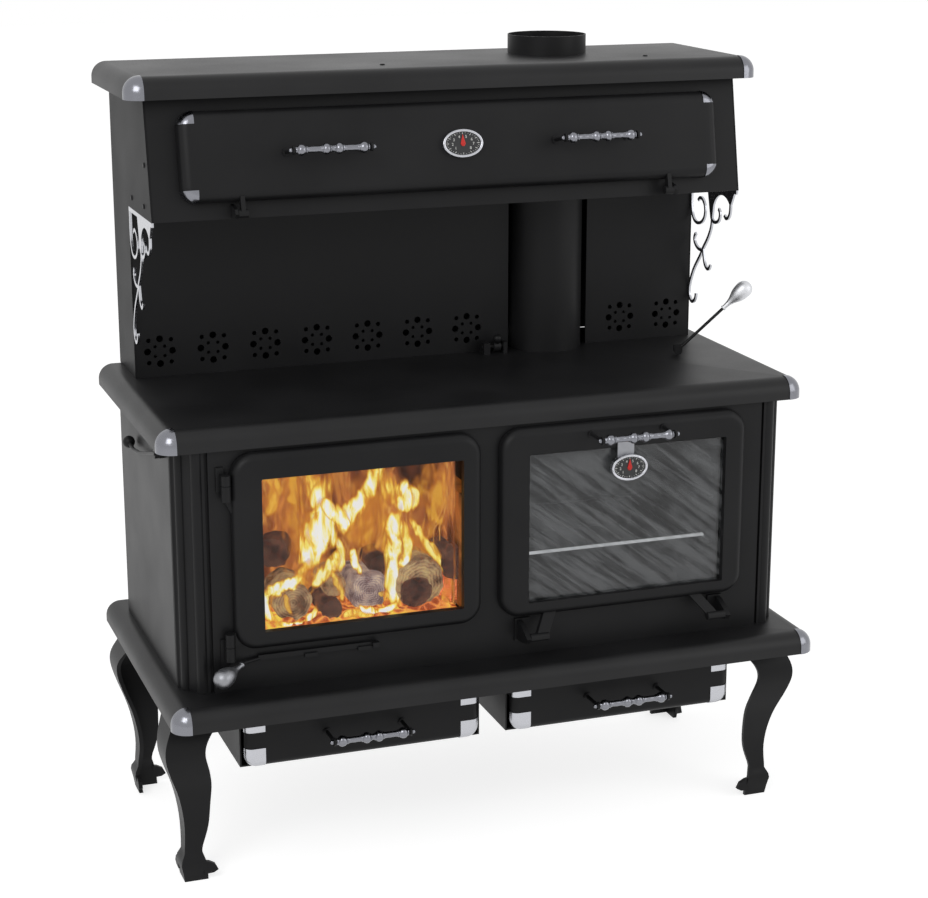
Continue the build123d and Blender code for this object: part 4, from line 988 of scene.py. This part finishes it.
@dataclass
class TeardropKnob:
    """Cast knob that swells from a ferrule on its rod to a round bulb."""

    node: str
    body: str
    start: tuple[float, float, float]
    aim: tuple[float, float, float]
    length: float
    bulb: float
    finish: Plating
    neck: float = 4.5 * MM
    segments: int = 56
    swell_steps: int = 28
    crown_steps: int = 18
    # radius and height of the ferrule's profile, as shares of the neck's radius
    ferrule: tuple[tuple[float, float], ...] = (
        (0, 0), (1.15, 0), (1.25, 0.12), (1.25, 0.45), (1.12, 0.6), (1.0, 0.62),
    )

    def build(self) -> None:
        """Builds the knob: a ferrule, a cubic curve out to the bulb and a half circle over it."""
        shoulder = self.length - self.bulb
        t = np.linspace(0, 1, self.swell_steps)[:, None]
        control = np.array(
            [(self.neck, 0.06 * shoulder), (self.neck, 0.55 * shoulder),
             (self.bulb, 0.5 * shoulder), (self.bulb, shoulder)]
        )
        swell = (
            (1 - t) ** 3 * control[0] + 3 * (1 - t) ** 2 * t * control[1]
            + 3 * (1 - t) * t**2 * control[2] + t**3 * control[3]
        )
        turn = np.linspace(0, math.pi / 2, self.crown_steps)[1:, None]
        crown = np.hstack([self.bulb * np.cos(turn), shoulder + self.bulb * np.sin(turn)])
        profile = np.vstack([self.neck * np.array(self.ferrule), swell, crown])
        profile[-1, 0] = 0
        side = (0, 0, 1) if abs(self.aim[2]) < 0.9 else (1, 0, 0)
        surface = turned(profile, self.segments).moved(place(self.start, self.aim, side))
        piece = surface.to_object(f"{self.node}_cast", self.finish)
        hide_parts(self.node)
        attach(piece, self.body)
        LOG.info("cast %s", self.node)


@dataclass
class Thermometer:
    """Oval dial thermometer: plated rim, black dial with plain marks and numbers, red pointer."""

    node: str
    body: str
    needle_body: str
    centre: tuple[float, float, float]
    normal: tuple[float, float, float]
    half_width: float
    half_height: float
    # left, right, bottom and top of a tab behind the rim
    tab: tuple[float, float, float, float] | None = None
    rim: float = 5 * MM
    lip: float = 1.6 * MM
    depth: float = 10 * MM
    recess: float = 3 * MM
    dial_sheet: float = 0.6 * MM
    dial_lap: float = 0.1 * MM
    tab_sheet: float = 2 * MM
    ticks: int = 36
    steps: int = 96
    figures: str = "12345678"
    figure_size: float = 7.2 * MM
    first_figure: float = 225
    figure_pitch: float = 38.5
    figure_lift: float = 0.1 * MM
    ink: float = 0.15 * MM
    # where marks begin and end and numbers stand, as shares of the way from the middle to the rim
    long_mark: float = 0.80
    short_mark: float = 0.87
    mark_end: float = 0.95
    figure_place: float = 0.60
    # the pointer's tail, tip and height over the dial
    needle_tail: float = -5 * MM
    needle_tip: float = 17 * MM
    needle_lift: float = 0.6 * MM
    # radius and height of the pointer's hub
    hub: tuple[tuple[float, float], ...] = (
        (0, 0), (3.4 * MM, 0), (3.4 * MM, 0.9 * MM), (2.6 * MM, 1.6 * MM), (0, 1.9 * MM),
    )

    @property
    def floor(self) -> float:
        """The height of the dial's face."""
        return self.depth - self.recess

    @property
    def dial_reach(self) -> np.ndarray:
        """Half the dial's width and height inside the rim."""
        return np.array([self.half_width, self.half_height]) - self.rim

    def frame(self) -> Matrix:
        """The dial's own frame: X to the right, Z out of its face."""
        return place(self.centre, self.normal, (1, 0, 0))

    def ring(self, profile: list[tuple[float, float]]) -> Surface:
        """Profile of inset and height carried round the oval.

        The point at angle a is ((half width - inset) cos a, (half height - inset) sin a, height).

        Args:
            profile: Inset and height in metres, one pair per point.

        Returns:
            The surface in the dial's own frame.
        """
        turn = np.linspace(0, 2 * math.pi, self.steps + 1)[:, None]
        inset, height = (np.array(profile)[None, :, k] for k in (0, 1))
        points = np.stack(
            [(self.half_width - inset) * np.cos(turn), (self.half_height - inset) * np.sin(turn),
             height + 0 * turn],
            axis=-1,
        )
        return Surface.grid(points)

    def bezel(self) -> Surface:
        """The rim: straight side, rounded lip, and a step down to the dial."""
        lip = np.linspace(0, math.pi, 9)
        half = self.rim / 2
        inset = half - half * np.cos(lip)
        height = self.depth - self.lip + self.lip * np.sin(lip)
        rows = [(0, 0), *zip(inset, height), (self.rim, self.floor), (self.rim, 0), (0, 0)]
        return self.ring(rows)

    def face(self) -> Surface:
        """The dial: a flat oval disc that closes at its centre."""
        rows = 1 - np.linspace(0, 1, 7)[:, None]
        turn = np.linspace(0, 2 * math.pi, self.steps + 1)
        width, height = self.dial_reach + self.dial_lap
        x, y = width * np.cos(turn), height * np.sin(turn)
        points = np.stack([rows * x, rows * y, self.floor + 0 * rows * turn], axis=-1)
        below = points - (0, 0, self.dial_sheet)
        edge = np.stack([points[0], below[0]])
        return Surface.joined([Surface.grid(part) for part in (points, below, edge)])

    def bar(self, start: np.ndarray, end: np.ndarray, width: float, lift: float) -> Surface:
        """Thin raised bar between two points of the dial.

        Args:
            start: One end, X and Y.
            end: The other end.
            width: The bar's width.
            lift: How far it stands off the dial.

        Returns:
            A closed flat box.
        """
        along = (end - start) / np.linalg.norm(end - start)
        side = np.array([-along[1], along[0]]) * width / 2
        corners = np.array([start - side, start + side, end + side, end - side])
        return self.box(np.hstack([corners, np.full((4, 1), self.floor)]), lift)

    @staticmethod
    def box(low: np.ndarray, lift: float) -> Surface:
        """Closed box from its four lower corners, one after another, and its height."""
        high = low + (0, 0, lift)
        loop = [0, 1, 2, 3, 0]
        walls = Surface.grid(np.stack([low[loop], high[loop]]))
        caps = [Surface.grid(level[[0, 1, 3, 2]].reshape(2, 2, 3)) for level in (low, high)]
        return Surface.joined([walls, *caps])

    def marks(self) -> Surface:
        """Degree marks round the dial, every third one long and broad."""
        made = []
        for index in range(self.ticks):
            turn = 2 * math.pi * index / self.ticks
            heading = np.array([math.cos(turn), math.sin(turn)]) * self.dial_reach
            long = (self.long_mark, 0.9 * MM)
            inner, width = long if index % 3 == 0 else (self.short_mark, 0.5 * MM)
            made.append(self.bar(heading * inner, heading * self.mark_end, width, self.ink))
        return Surface.joined(made)

    def numbers(self) -> list[Object]:
        """Plain numbers inside the marks, as meshes in the stove's frame."""
        made = []
        for index, figure in enumerate(self.figures):
            turn = math.radians(self.first_figure - self.figure_pitch * index)
            text = bpy.data.curves.new(f"{self.node}_figure_{figure}", "FONT")
            text.body = figure
            text.size = self.figure_size
            text.extrude = 0.12 * MM
            text.align_x = "CENTER"
            text.align_y = "CENTER"
            holder = bpy.data.objects.new(text.name, text)
            mesh = bpy.data.meshes.new_from_object(holder)
            bpy.data.objects.remove(holder)
            heading = np.array([math.cos(turn), math.sin(turn)]) * self.dial_reach
            lifted = Vector((*(heading * self.figure_place), self.floor + self.figure_lift))
            mesh.transform(self.frame() @ Matrix.Translation(lifted))
            mesh.materials.append(DIAL_WHITE.material())
            made.append(stand(bpy.data.objects.new(f"{self.node}_number_{figure}", mesh)))
        return made

    def pointer(self) -> Surface:
        """The needle: a tapering leaf with a rounded ridge, and its hub.

        With s from 0 at the tail to 1 at the tip, half the leaf's width grows as 2.4 + 13 s up to
        s = 0.2 and then falls in a straight line to nothing, in millimetres. Its section is an
        ellipse, half a millimetre high at the tail and lower by 0.7 s.
        """
        height = self.floor + self.needle_lift
        length = self.needle_tip - self.needle_tail
        s = np.linspace(0, 1, 24)[:, None]
        around = np.linspace(0, 2 * math.pi, 17)[None, :]
        width = np.where(s < 0.2, 2.4 + 13 * s, 5.0 * (1 - s) / 0.8) * MM
        points = np.stack(
            [width * np.cos(around), self.needle_tail + length * s + 0 * around,
             height + 0.5 * MM + 0.5 * MM * np.sin(around) * (1 - s * 0.7)],
            axis=-1,
        )
        ends = [np.repeat(points[k].mean(0)[None, None], 17, axis=1) for k in (0, -1)]
        leaf = Surface.grid(np.concatenate([ends[0], points, ends[1]], axis=0))
        hub = turned(np.array(self.hub), 32)
        return Surface.joined([leaf, hub.moved(Matrix.Translation((0, 0, height)))])

    def build(self) -> None:
        """Builds the rim, dial, marks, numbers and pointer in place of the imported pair."""
        frame = self.frame()
        case = self.bezel().moved(frame).to_object(f"{self.node}_rim", BRIGHT_PLATE)
        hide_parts(self.node)
        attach(case, self.body)
        plain = [("dial", self.face(), DIAL_BLACK), ("marks", self.marks(), DIAL_WHITE)]
        if self.tab:
            plain.insert(0, ("tab", self.hanger(), DULL_PLATE))
        made = [
            shape.moved(frame).to_object(f"{self.node}_{name}", finish)
            for name, shape, finish in plain
        ]
        for piece in made + self.numbers():
            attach(piece, self.body)
        needle = self.pointer().moved(frame).to_object(f"{self.node}_pointer", NEEDLE_RED)
        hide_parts(f"{self.node}_needle")
        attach(needle, self.needle_body)
        LOG.info("built %s", self.node)

    def hanger(self) -> Surface:
        """The flat tab behind the rim, as a thin box from its left, right, bottom and top."""
        left, right, bottom, top = self.tab
        low = np.array([(left, bottom, 0), (left, top, 0), (right, top, 0), (right, bottom, 0)])
        return self.box(low, self.tab_sheet)


# ---------------------------------------------------------------- the fire


@dataclass(frozen=True)
class Log:
    """One log: its near end in the picture, its depth span, its radius, its form and its finish."""

    seen_at: tuple[float, float]
    near: float
    far: float
    radius: float
    square: float = 0.0
    drift: float = 0.0
    finish: Charring = LOG_CHAR


@dataclass(frozen=True)
class Tongue:
    """One flame: how hot and wide it is, how deep it stands, and its line in the picture."""

    heat: float
    half_width: float
    depth: float
    line: tuple[tuple[float, float], ...]


@dataclass
class Fire:
    """What burns behind the fire door's glass: coals on the grate, logs and rising flames."""

    body: str = "stove"
    seed: int = 11
    left: float = -0.452
    right: float = -0.068
    front: float = -0.215
    rear: float = 0.112
    floor: float = 0.4785
    ceiling: float = 0.787
    screen: float = -0.118
    lumps: int = 260
    lump_reach: tuple[float, float] = (10 * MM, 19 * MM)
    lump_lift: tuple[float, float] = (0.3, 1.0)
    crust: float = 3 * MM
    crust_edge: float = 12 * MM
    coal_steps: tuple[int, int] = (110, 96)
    log_steps: tuple[int, int] = (65, 40)
    bark_waves: int = 7
    bark_depth: float = 0.045
    log_rise: float = 6 * MM
    log_edge: float = 4 * MM
    saw_dish: float = 1.2 * MM
    line_steps: int = 14
    ribbon_rows: int = 13
    ribbon_width: float = 1.4
    ribbon_bulge: float = 6 * MM
    ribbon_wave: float = 4 * MM
    # how far flames and hazes keep from the bricks and the grate
    gap: float = 2 * MM
    bend: float = 30 * MM
    sight: Sight = field(default_factory=Sight)
    # near end in the picture, Y there and at the far end, radius, how square, drift and finish
    logs: tuple[Log, ...] = (
        Log((293, 603), -0.206, 0.06, 0.036, 0.1, 0.010, LOG_BARK),
        Log((332, 611), -0.208, 0.05, 0.0205, 0.0, 0.002, LOG_CHAR),
        Log((335, 586), -0.190, 0.08, 0.022, 0.2, 0.004, LOG_BARK),
        Log((369, 591), -0.205, 0.06, 0.034, 0.9, -0.006, LOG_ASH),
        Log((380, 566), -0.180, 0.08, 0.022, 0.3, 0.010, LOG_CHAR),
        Log((421, 586), -0.196, 0.08, 0.048, 0.1, -0.020, LOG_BARK),
        Log((449, 590), -0.190, 0.05, 0.036, 0.4, 0.000, LOG_GLOW),
        Log((417, 604), -0.206, -0.19, 0.030, 0.1, 0.0, LOG_CHAR),
        Log((459, 563), -0.200, 0.08, 0.034, 0.4, -0.006, LOG_CHAR),
        Log((272, 553), -0.150, 0.07, 0.030, 0.3, 0.090, LOG_CHAR),
    )
    # heat, half width in picture units, Y in metres and the line's points in the picture
    tongues: tuple[Tongue, ...] = (
        Tongue(1.15, 15, -0.176, ((314, 574), (313, 556), (319, 538), (323, 520),
                                  (321, 502), (326, 486), (333, 462))),
        Tongue(1.0, 12, -0.174, ((310, 556), (311, 538), (318, 522), (322, 508), (324, 494))),
        Tongue(1.1, 8, -0.180, ((318, 500), (336, 512), (344, 524), (347, 536))),
        Tongue(1.0, 9, -0.172, ((341, 540), (345, 524), (352, 512), (362, 500),
                                (370, 486), (374, 466), (376, 450))),
        Tongue(0.9, 7, -0.170, ((334, 575), (338, 560), (339, 545), (335, 532))),
        Tongue(0.62, 9, -0.160, ((322, 512), (318, 496), (312, 482), (308, 470), (304, 452))),
        Tongue(0.5, 11, -0.150, ((276, 520), (270, 502), (274, 488), (268, 470), (272, 452))),
        Tongue(0.45, 9, -0.150, ((298, 512), (297, 496), (291, 480), (294, 460))),
        Tongue(1.05, 8, -0.190, ((394, 612), (394, 590), (393, 566), (394, 545),
                                 (393, 526), (397, 512), (403, 498))),
        Tongue(1.0, 6, -0.188, ((399, 570), (405, 556), (406, 540), (403, 526), (396, 512))),
        Tongue(0.5, 8, -0.172, ((386, 556), (384, 540), (387, 526), (395, 512))),
        Tongue(1.0, 8, -0.184, ((397, 512), (403, 502), (404, 488), (402, 474))),
        Tongue(0.8, 6, -0.170, ((404, 510), (412, 502), (413, 492), (405, 480))),
        Tongue(0.75, 9, -0.165, ((400, 506), (392, 494), (383, 482), (378, 468), (374, 450))),
        Tongue(0.45, 10, -0.160, ((436, 530), (438, 512), (436, 496), (440, 478), (448, 456))),
        Tongue(0.4, 12, -0.150, ((424, 512), (418, 490), (428, 472), (444, 454))),
        Tongue(0.75, 4, -0.185, ((408, 512), (418, 530), (428, 548), (440, 564), (448, 580))),
        Tongue(0.6, 3.5, -0.183, ((428, 540), (436, 552), (442, 564), (447, 574))),
        Tongue(1.15, 4, -0.200, ((352, 546), (354, 558), (359, 570), (362, 576))),
        Tongue(1.2, 6, -0.208, ((304, 570), (292, 583), (278, 589), (268, 596),
                                (266, 610), (274, 621), (286, 626))),
        Tongue(1.0, 4, -0.208, ((276, 622), (292, 626), (306, 622), (315, 612), (318, 600))),
        Tongue(0.5, 3, -0.207, ((284, 592), (288, 606), (293, 618))),
        Tongue(0.85, 7, -0.200, ((314, 590), (318, 578), (328, 568), (336, 556), (340, 546))),
        Tongue(0.6, 6, -0.196, ((308, 588), (300, 578), (306, 566), (314, 556))),
        Tongue(1.15, 4, -0.208, ((356, 606), (368, 610), (382, 612), (394, 606), (398, 598))),
        Tongue(0.7, 5, -0.206, ((340, 616), (354, 614), (370, 616), (388, 613))),
        Tongue(0.6, 4, -0.200, ((340, 604), (340, 590), (334, 576), (330, 568))),
        Tongue(0.55, 7, -0.195, ((386, 588), (380, 596), (374, 600), (372, 608))),
        Tongue(0.42, 16, -0.150, ((350, 552), (358, 530), (364, 510), (362, 490), (356, 466))),
        Tongue(0.42, 16, -0.148, ((376, 560), (374, 536), (372, 514), (378, 494), (384, 470))),
        Tongue(0.4, 16, -0.150, ((296, 560), (302, 536), (298, 514), (300, 496))),
        Tongue(0.4, 14, -0.148, ((416, 566), (420, 546), (424, 530), (420, 512))),
        Tongue(0.5, 6, -0.198, ((450, 612), (446, 596), (449, 584), (445, 572))),
    )

    def coals(self) -> Surface:
        """Bed of coals: height is a floor plus rounded lumps, the highest of many shifted domes."""
        rng = np.random.default_rng(self.seed)
        x = np.linspace(self.left, self.right, self.coal_steps[0])[:, None]
        y = np.linspace(self.front, self.rear, self.coal_steps[1])[None, :]
        spans = (
            (self.left, self.right), (self.front, self.rear), self.lump_reach, self.lump_lift,
        )
        cx, cy, size, lift = (rng.uniform(*span, self.lumps)[:, None, None] for span in spans)
        gap = ((x[None] - cx) ** 2 + (y[None] - cy) ** 2) / size**2
        lumps = (np.sqrt(np.clip(1 - gap, 0, 1)) * size * lift).max(0)
        side = np.minimum(x - self.left, self.right - x)
        inside = np.minimum(side, np.minimum(y - self.front, self.rear - y))
        top = self.floor + (self.crust + lumps) * np.minimum(1, inside / self.crust_edge)
        points = np.stack([x + 0 * y, y + 0 * x, top], axis=-1)
        base = points.copy()
        base[..., 2] = self.floor
        return Surface.joined([Surface.grid(points), Surface.grid(base)])

    def log(self, spec: Log, rng: np.random.Generator) -> Surface:
        """A log: a circle that blends towards a square, roughened by bark, with closed ends.

        Args:
            spec: Where the log lies and its form.
            rng: The source of its bark.

        Returns:
            The closed surface.
        """
        start = self.sight.at_depth(np.array([spec.seen_at]), spec.near)[0]
        start[2] = max(start[2], self.floor + spec.radius)
        end = start + (spec.drift, spec.far - spec.near, self.log_rise)
        length = float(np.linalg.norm(end - start))
        turn = np.linspace(0, 2 * math.pi, self.log_steps[0])[:, None]
        along = np.linspace(0, 1, self.log_steps[1])[None, :]
        flat = 1 / np.maximum(np.abs(np.cos(turn)), np.abs(np.sin(turn)))
        shape = (1 - spec.square) + spec.square * np.minimum(flat, 1.28) * 0.9
        bark = np.zeros(self.log_steps)
        for wave in range(self.bark_waves):
            ridges = int(rng.integers(3, 17))
            phase, drift = rng.uniform(0, 2 * math.pi, 2)
            bark += np.sin(ridges * turn + phase + 1.6 * np.sin(drift + 5 * along)) / (2 + wave)
        radius = spec.radius * shape * (1 + self.bark_depth * bark)
        from_end = np.minimum(along, 1 - along) * length
        rounding = np.clip(from_end / self.log_edge, 0, 1) ** 0.5
        radius = radius * (0.93 + 0.07 * rounding)
        points = np.stack(
            [radius * np.cos(turn), radius * np.sin(turn), length * along + 0 * turn], axis=-1
        )
        rings = np.linspace(1, 0, 9)[None, :, None]
        dish = self.saw_dish * np.sin(rings * 26)
        caps = []
        for index, sign in ((0, 1), (-1, -1)):
            shares = np.concatenate([rings, rings, 0 * rings + 1], axis=-1)
            cap = points[:, index][:, None, :] * shares
            cap[..., 2:] += sign * np.abs(dish)
            cap[:, 0] = points[:, index]
            caps.append(Surface.grid(cap))
            caps[-1].uv[:, 1] += 2
        surface = Surface.joined([Surface.grid(points), *caps])
        return surface.moved(place(tuple(start), tuple(end - start), (0, 0, 1)))

    def tongue(self, spec: Tongue, rng: np.random.Generator) -> Surface:
        """One flame: a ribbon about a smooth line, bulging forward, narrow at its root and tip.

        Half its width at share t of its length is the flame's own times a constant and times
        0.15 + 0.85 sin(pi t^0.7)^0.8, and its sides flutter by two sines. The ribbon is drawn in
        the picture and then moved along the lines of sight to its depth.

        Args:
            spec: The flame's heat, width, depth and line.
            rng: The source of its flutter.

        Returns:
            The open ribbon, which carries its heat.
        """
        line = through(np.array(spec.line, float), self.line_steps)
        t = np.linspace(0, 1, len(line))
        swell = 0.15 + 0.85 * np.sin(math.pi * t**0.7) ** 0.8
        width = self.ribbon_width * spec.half_width * swell
        slope = np.gradient(line, axis=0)
        slope /= np.linalg.norm(slope, axis=1, keepdims=True)
        s = np.linspace(-1, 1, self.ribbon_rows)[:, None]
        phase = rng.uniform(0, 2 * math.pi)
        flutter = 0.22 * np.sin(8 * t + phase) + 0.12 * np.sin(21 * t + 2 * phase)
        across = (s + flutter * (1 - s**2)) * width
        picture = np.stack(
            [line[:, 0] - across * slope[:, 1], line[:, 1] + across * slope[:, 0]], axis=-1
        )
        bulge = self.ribbon_bulge * (1 - s**2)
        depth = spec.depth - bulge + self.ribbon_wave * np.sin(5 * t + phase)
        points = self.sight.at_depth(picture.reshape(-1, 2), depth.reshape(-1))
        points[:, 0] = np.clip(points[:, 0], self.left, self.right)
        points[:, 2] = np.clip(points[:, 2], self.floor + self.gap, self.ceiling)
        surface = Surface.grid(points.reshape(*picture.shape[:2], 3))
        surface.heat = np.full(len(surface.points), spec.heat)
        return surface

    def curtain(self, depth: float, wave: float) -> Surface:
        """Upright sheet across the firebox whose ends turn forward along the side bricks.

        Its plan is a straight run with two quarter-circle turns, and it waves by two sines.

        Args:
            depth: The Y of its straight run.
            wave: How far it waves.

        Returns:
            The open sheet.
        """
        turn = np.linspace(0, math.pi / 2, 10)
        left, right = self.left + self.gap, self.right - self.gap
        front = np.linspace(self.front + 0.004, depth - self.bend, 8)
        # how far the bend has come in from the side, and how far it lags behind the run
        inward, behind = self.bend * (1 - np.cos(turn)), self.bend * (1 - np.sin(turn))
        run = np.linspace(left + self.bend, right - self.bend, 60)[1:-1]
        plan = np.vstack([
            np.column_stack([np.full(8, left), front]),
            np.column_stack([left + inward, depth - behind]),
            np.column_stack([run, np.full(58, depth)]),
            np.column_stack([right - behind, depth - inward]),
            np.column_stack([np.full(8, right), front[::-1]]),
        ])
        height = np.linspace(self.floor + self.gap, self.ceiling, 30)[None, :]
        x, y = plan[:, :1], plan[:, 1:]
        inner = (np.abs(y - depth) < 1e-9) * 1.0
        ripple = wave * inner * (np.sin(26 * x + 9 * height) + 0.5 * np.sin(61 * x - 14 * height))
        points = np.stack([x + 0 * height, y - np.abs(ripple), height + 0 * x], axis=-1)
        return Surface.grid(points)

    def build(self) -> None:
        """Builds the coals, the logs and the flames, all riding on the stove."""
        rng = np.random.default_rng(self.seed)
        made = [self.coals().to_object("ember_bed", EMBER_BED)]
        logs = [(spec.finish, self.log(spec, rng)) for spec in self.logs]
        for name, finish in (("split_logs", LOG_BARK), ("ashen_log", LOG_ASH),
                             ("charred_logs", LOG_CHAR), ("glowing_log", LOG_GLOW)):
            alike = Surface.joined([surface for own, surface in logs if own is finish])
            made.append(alike.to_object(name, finish))
        flames = Surface.joined([self.tongue(spec, rng) for spec in self.tongues])
        rear = self.curtain(self.screen + 0.004, 0.0)
        front = self.curtain(self.screen - 0.02, 0.004)
        for name, sheet, finish in (("flames", flames, FLAME), ("rear_flame_haze", rear, REAR_HAZE),
                                    ("front_flame_haze", front, FRONT_HAZE)):
            made.append(sheet.to_object(name, finish, closed=False))
        for piece in made:
            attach(piece, self.body)
        LOG.info("laid %d logs and %d flames", len(self.logs), len(self.tongues))


# ---------------------------------------------------------------- studio


@dataclass
class Studio:
    """Pale floor, white surroundings, soft lamps and the photograph's camera."""

    sight: Sight = field(default_factory=Sight)
    sensor: float = 36.0
    surround: float = 0.55
    floor_glow: float = 0.74
    floor_grey: float = 0.55
    floor_reach: float = 20.0
    # name, place, aim, side in metres and power in watts
    lamps: tuple[tuple, ...] = (
        ("key", (-2.6, -2.6, 3.2), (0, 0, 0.8), 2.2, 60),
        ("fill", (2.8, -2.4, 2.0), (0, 0, 0.8), 2.4, 25),
    )

    def camera(self) -> None:
        """Makes the camera from where the photograph was taken and its focal length."""
        data = bpy.data.cameras.new("camera")
        data.sensor_width = self.sensor
        data.lens = self.sight.focal_pixels * self.sensor / self.sight.width
        data.clip_end = 50
        made = stand(bpy.data.objects.new("camera", data))
        right, up, forward = self.sight.axes()
        turn = Matrix([right, up, -forward]).transposed().to_4x4()
        made.matrix_world = Matrix.Translation(self.sight.position) @ turn
        bpy.context.scene.camera = made

    def lamp(self, name: str, stands: tuple, aim: tuple, size: float, power: float) -> None:
        """Adds one square soft lamp that faces a point.

        Args:
            name: The lamp's name.
            stands: Where it hangs.
            aim: The point that it faces.
            size: The side of its square.
            power: Its power in watts.
        """
        data = bpy.data.lights.new(name, "AREA")
        data.size = size
        data.energy = power
        made = stand(bpy.data.objects.new(name, data))
        made.location = stands
        made.rotation_euler = (Vector(aim) - Vector(stands)).to_track_quat("-Z", "Y").to_euler()

    @staticmethod
    def seen(tree: NodeTree) -> Node:
        """One for what the eye, a reflection or glass sees, and nought for the light it gives.

        Args:
            tree: The tree it goes into.

        Returns:
            The node whose first output holds the number.
        """
        tree.nodes.clear()
        path = add_node(tree, "ShaderNodeLightPath").outputs
        found = path["Is Camera Ray"]
        for other in ("Is Glossy Ray", "Is Transmission Ray"):
            found = add_node(tree, MATH, {"operation": "MAXIMUM"}, {0: found, 1: path[other]})
        return found

    def surroundings(self) -> None:
        """White for what the eye, a reflection or glass sees; an even grey light for the rest."""
        world = bpy.data.worlds.new("studio")
        world.use_nodes = True
        tree = world.node_tree
        seen = {"Value": self.seen(tree)}
        level = add_node(tree, RANGE, between(0.0, 1.0, self.surround), seen)
        light = add_node(tree, "ShaderNodeBackground", {"Color": (1, 1, 1, 1)}, {"Strength": level})
        add_node(tree, "ShaderNodeOutputWorld", links={"Surface": light})
        bpy.context.scene.world = world

    def floor(self) -> None:
        """Pale floor: light of its own for the eye and for reflections, under a soft shadow."""
        material = bpy.data.materials.new("pale_floor")
        material.use_nodes = True
        tree = material.node_tree
        seen = {"Value": self.seen(tree)}
        share = add_node(tree, RANGE, between(0.0, 1.0, 0.0, self.floor_glow), seen)
        glow = add_node(tree, "ShaderNodeEmission", {"Color": (1, 1, 1, 1)}, {"Strength": share})
        matt = add_node(tree, "ShaderNodeBsdfDiffuse", {"Color": (*[self.floor_grey] * 3, 1)})
        both = add_node(tree, "ShaderNodeAddShader", links={0: glow, 1: matt})
        add_node(tree, "ShaderNodeOutputMaterial", links={"Surface": both})
        corners = np.array([(-1, -1, 0), (1, -1, 0), (1, 1, 0), (-1, 1, 0)]) * self.floor_reach
        mesh = bpy.data.meshes.new("floor")
        mesh.from_pydata(corners.tolist(), [], [(0, 1, 2, 3)])
        mesh.materials.append(material)
        stand(bpy.data.objects.new("floor", mesh))

    def build(self) -> None:
        """Sets the stage."""
        bpy.context.scene.view_settings.view_transform = "Standard"
        self.camera()
        self.surroundings()
        self.floor()
        for lamp in self.lamps:
            self.lamp(*lamp)
        LOG.info("set the studio")


def main() -> None:
    """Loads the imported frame, dresses it and builds the pieces that only the looks need."""
    logging.basicConfig(level=logging.INFO, format="%(name)s: %(message)s")
    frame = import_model()
    PackedNodes(frame).dress()
    for node, body, count in (
        ("oven_door_grip", "oven_door", 1), ("warming_door_grips", "warming_door", 2),
        ("left_drawer_grip", "left_drawer", 1), ("right_drawer_grip", "right_drawer", 1),
    ):
        BeadedGrips().build(node, body, count)
    TeardropKnob(
        "air_slide_knob", "air_control", start=(-0.486, -0.250, 0.431),
        aim=(-0.041, -0.025, -0.013), length=67.5 * MM, bulb=17.5 * MM, finish=DULL_PLATE,
    ).build()
    lever_foot, lever_tip = Vector((0.465, 0.015, 0.866)), Vector((0.610, -0.0255, 1.008))
    lever_aim = (lever_tip - lever_foot).normalized()
    knob_length = 72 * MM
    TeardropKnob(
        "damper_knob", "oven_damper", start=tuple(lever_tip - lever_aim * knob_length),
        aim=tuple(lever_aim), length=knob_length, bulb=16.5 * MM, finish=BRUSHED_PLATE,
    ).build()
    Thermometer(
        "oven_thermometer", "oven_door", "oven_needle", centre=(0.250, -0.264, 0.732),
        normal=(0, -1, 0), half_width=36 * MM, half_height=25 * MM,
        tab=(-22.5 * MM, 10.5 * MM, 8 * MM, 52 * MM),
    ).build()
    Thermometer(
        "warming_thermometer", "warming_door", "warming_needle",
        centre=(0.002, -0.0444465, 1.3113503), normal=(0, -0.981928, 0.189254),
        half_width=39 * MM, half_height=26 * MM,
    ).build()
    Fire().build()
    Studio().build()
    bpy.context.view_layer.update()


if __name__ == "__main__":
    main()
